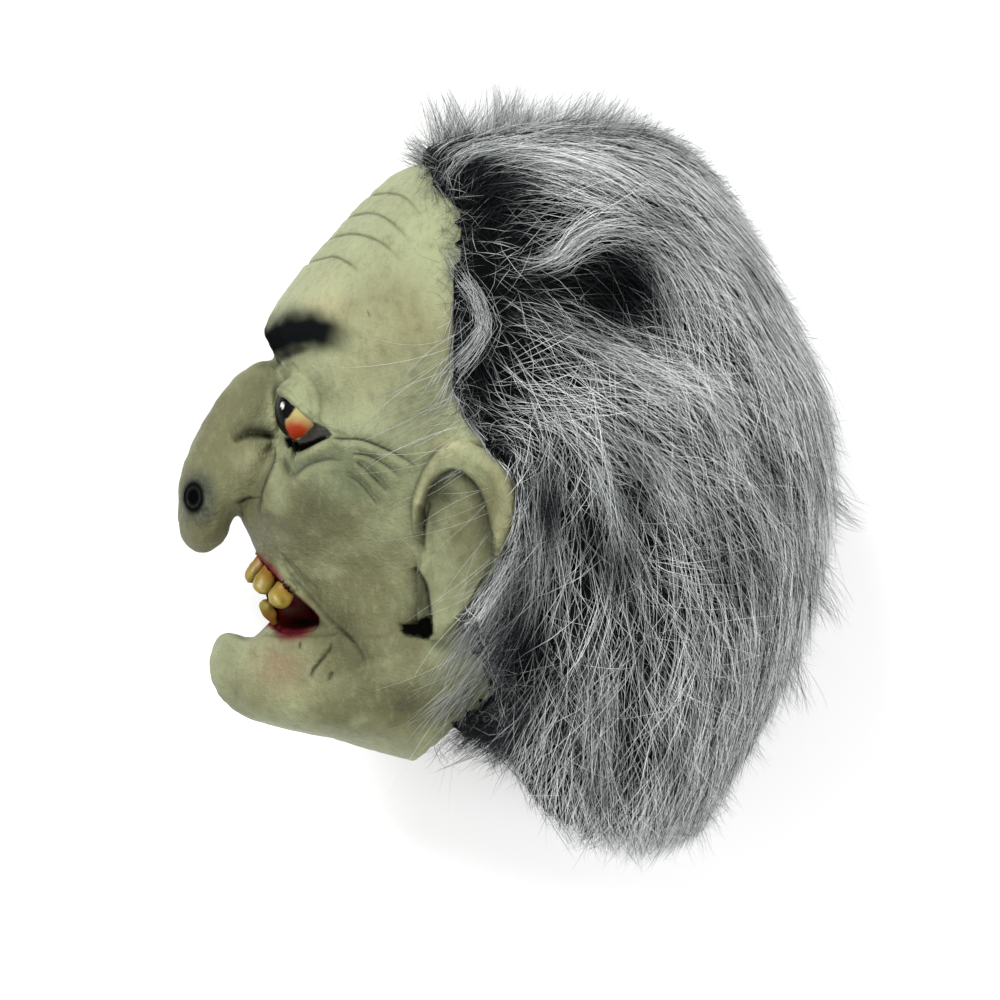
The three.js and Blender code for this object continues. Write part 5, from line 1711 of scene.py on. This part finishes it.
class GhoulPaint(PropertyGroup):
    latex: colour_property("Latex", "Pale tinted latex as it comes from the mould", "#8e9472")
    latex_deep: colour_property("Deep latex", "Thicker tint in the blotches", "#7c7f5e")
    # Olive airbrush, laid thicker as painted shade low on the face and the jaw
    olive_and_shade: colour_property("Olive", "Airbrushed coat over the cheeks and the nose", "#5b5b3f")
    cool: colour_property("Cool grey", "Grey-green coat round the eyes and the chin", "#5b6349")
    warm: colour_property("Warm ochre", "Thin ochre coat on the temple and over the brow", "#7f7958")
    # Brown painted shade under the nose's tip
    umber_shade: colour_property("Umber", "Brown coat under the nose's tip", "#484031")
    # Paler latex on rubbed rims, and painted highlight on the rolls and bulges
    rubbed_and_highlight: colour_property("Pale rim", "Bare latex where rims are rubbed", "#a3a07b")
    # Painted shade: soft dark beside the folds and in the face's hollows under the brow, the helix and the
    # jaw
    painted_shade: colour_property("Wash", "Soft dark wash beside the folds", "#2b2b1b")
    rim_grey: colour_property("Rim grey", "Dark grey of the inner lid", "#262722")
    pink: colour_property("Pink", "Flush on the chin and over the brow", "#84614f")
    # Painted shade in the creases and wrinkles
    crease_shade: colour_property("Crease", "Dark wash left in the creases", "#1f2018")
    halo: colour_property("Halo", "Overspray round the wart", "#30342d")
    brow: colour_property("Brow", "Charcoal brow", "#0f1112")
    wart: colour_property("Wart", "Black of the wart", "#050608")
    lip: colour_property("Lip", "Crimson of the lips", "#5c0d20")
    mouth: colour_property("Mouth", "Dark red inside the mouth", "#2c0305")
    # Black painted shade in the slots, the ear's canal and the deepest hollows
    deep_shade: colour_property("Soot", "Black in the slots and the ear's canal", "#060605")
    freckle: colour_property("Freckle", "Fine overspray freckles", "#57553e")
    eye_white: colour_property("Eye white", "Yellow of the eyeball", "#9a925f")
    eye_cream: colour_property("Eye cream", "Paler clouds in the eyeball's yellow", "#aca578")
    eye_rust: colour_property("Eye rust", "Orange red at the eyeball's lower rear", "#8e2c12")
    # Black of the iris, also painted shade on the eyeball's front corner, lower edge and under the sight slit
    eye_black_and_shade: colour_property("Eye black", "Black of the iris", "#020202")
    # Painted highlight: white standing in for a reflection on the iris
    eye_painted_highlight: colour_property("Eye glint", "White spot painted on the iris", "#f0f0ea")
    tooth: colour_property("Tooth", "Yellow of the teeth", "#84722a")
    tooth_stain: colour_property("Tooth stain", "Darker yellow in the streaks", "#69591f")
    tooth_root: colour_property("Tooth root", "Orange brown at the gum", "#7c4a14")
    fur_black: colour_property("Fur black", "Black of the pile at the roots", "#020303")
    fur_charcoal: colour_property("Fur charcoal", "Charcoal of the darker hairs", "#2e3234")
    fur_grey: colour_property("Fur grey", "Grey of most hairs", "#a9adab")
    fur_silver: colour_property("Fur silver", "Silver of the frosted tips", "#f3f5f4")
    floor: colour_property("Floor", "White paper under the mask", "#f8f8f8")


class GHOUL_PT_panel(Panel):
    """Lists the pieces of the mask in the order in which they are made"""

    bl_idname = "GHOUL_PT_panel"
    bl_label = "Ghoul mask"
    bl_space_type = "VIEW_3D"
    bl_region_type = "UI"
    bl_category = "Mask"

    def draw(self, context):
        for operator in OPERATORS:
            self.layout.operator(operator.bl_idname)


OPERATORS = [GHOUL_OT_latex, GHOUL_OT_eyes, GHOUL_OT_teeth, GHOUL_OT_backing, GHOUL_OT_hair, GHOUL_OT_stage]
CLASSES = [GhoulShape, GhoulPaint, *OPERATORS, GHOUL_PT_panel]


def register():
    for cls in CLASSES:
        bpy.utils.register_class(cls)
    bpy.types.Scene.ghoul_shape = PointerProperty(type=GhoulShape)
    bpy.types.Scene.ghoul_paint = PointerProperty(type=GhoulPaint)


def unregister():
    del bpy.types.Scene.ghoul_paint
    del bpy.types.Scene.ghoul_shape
    for cls in reversed(CLASSES):
        bpy.utils.unregister_class(cls)


def main():
    register()
    bpy.ops.ghoul.latex()
    bpy.ops.ghoul.eyes()
    bpy.ops.ghoul.teeth()
    bpy.ops.ghoul.backing()
    bpy.ops.ghoul.hair()
    bpy.ops.ghoul.stage()


if __name__ == "__main__":
    main()
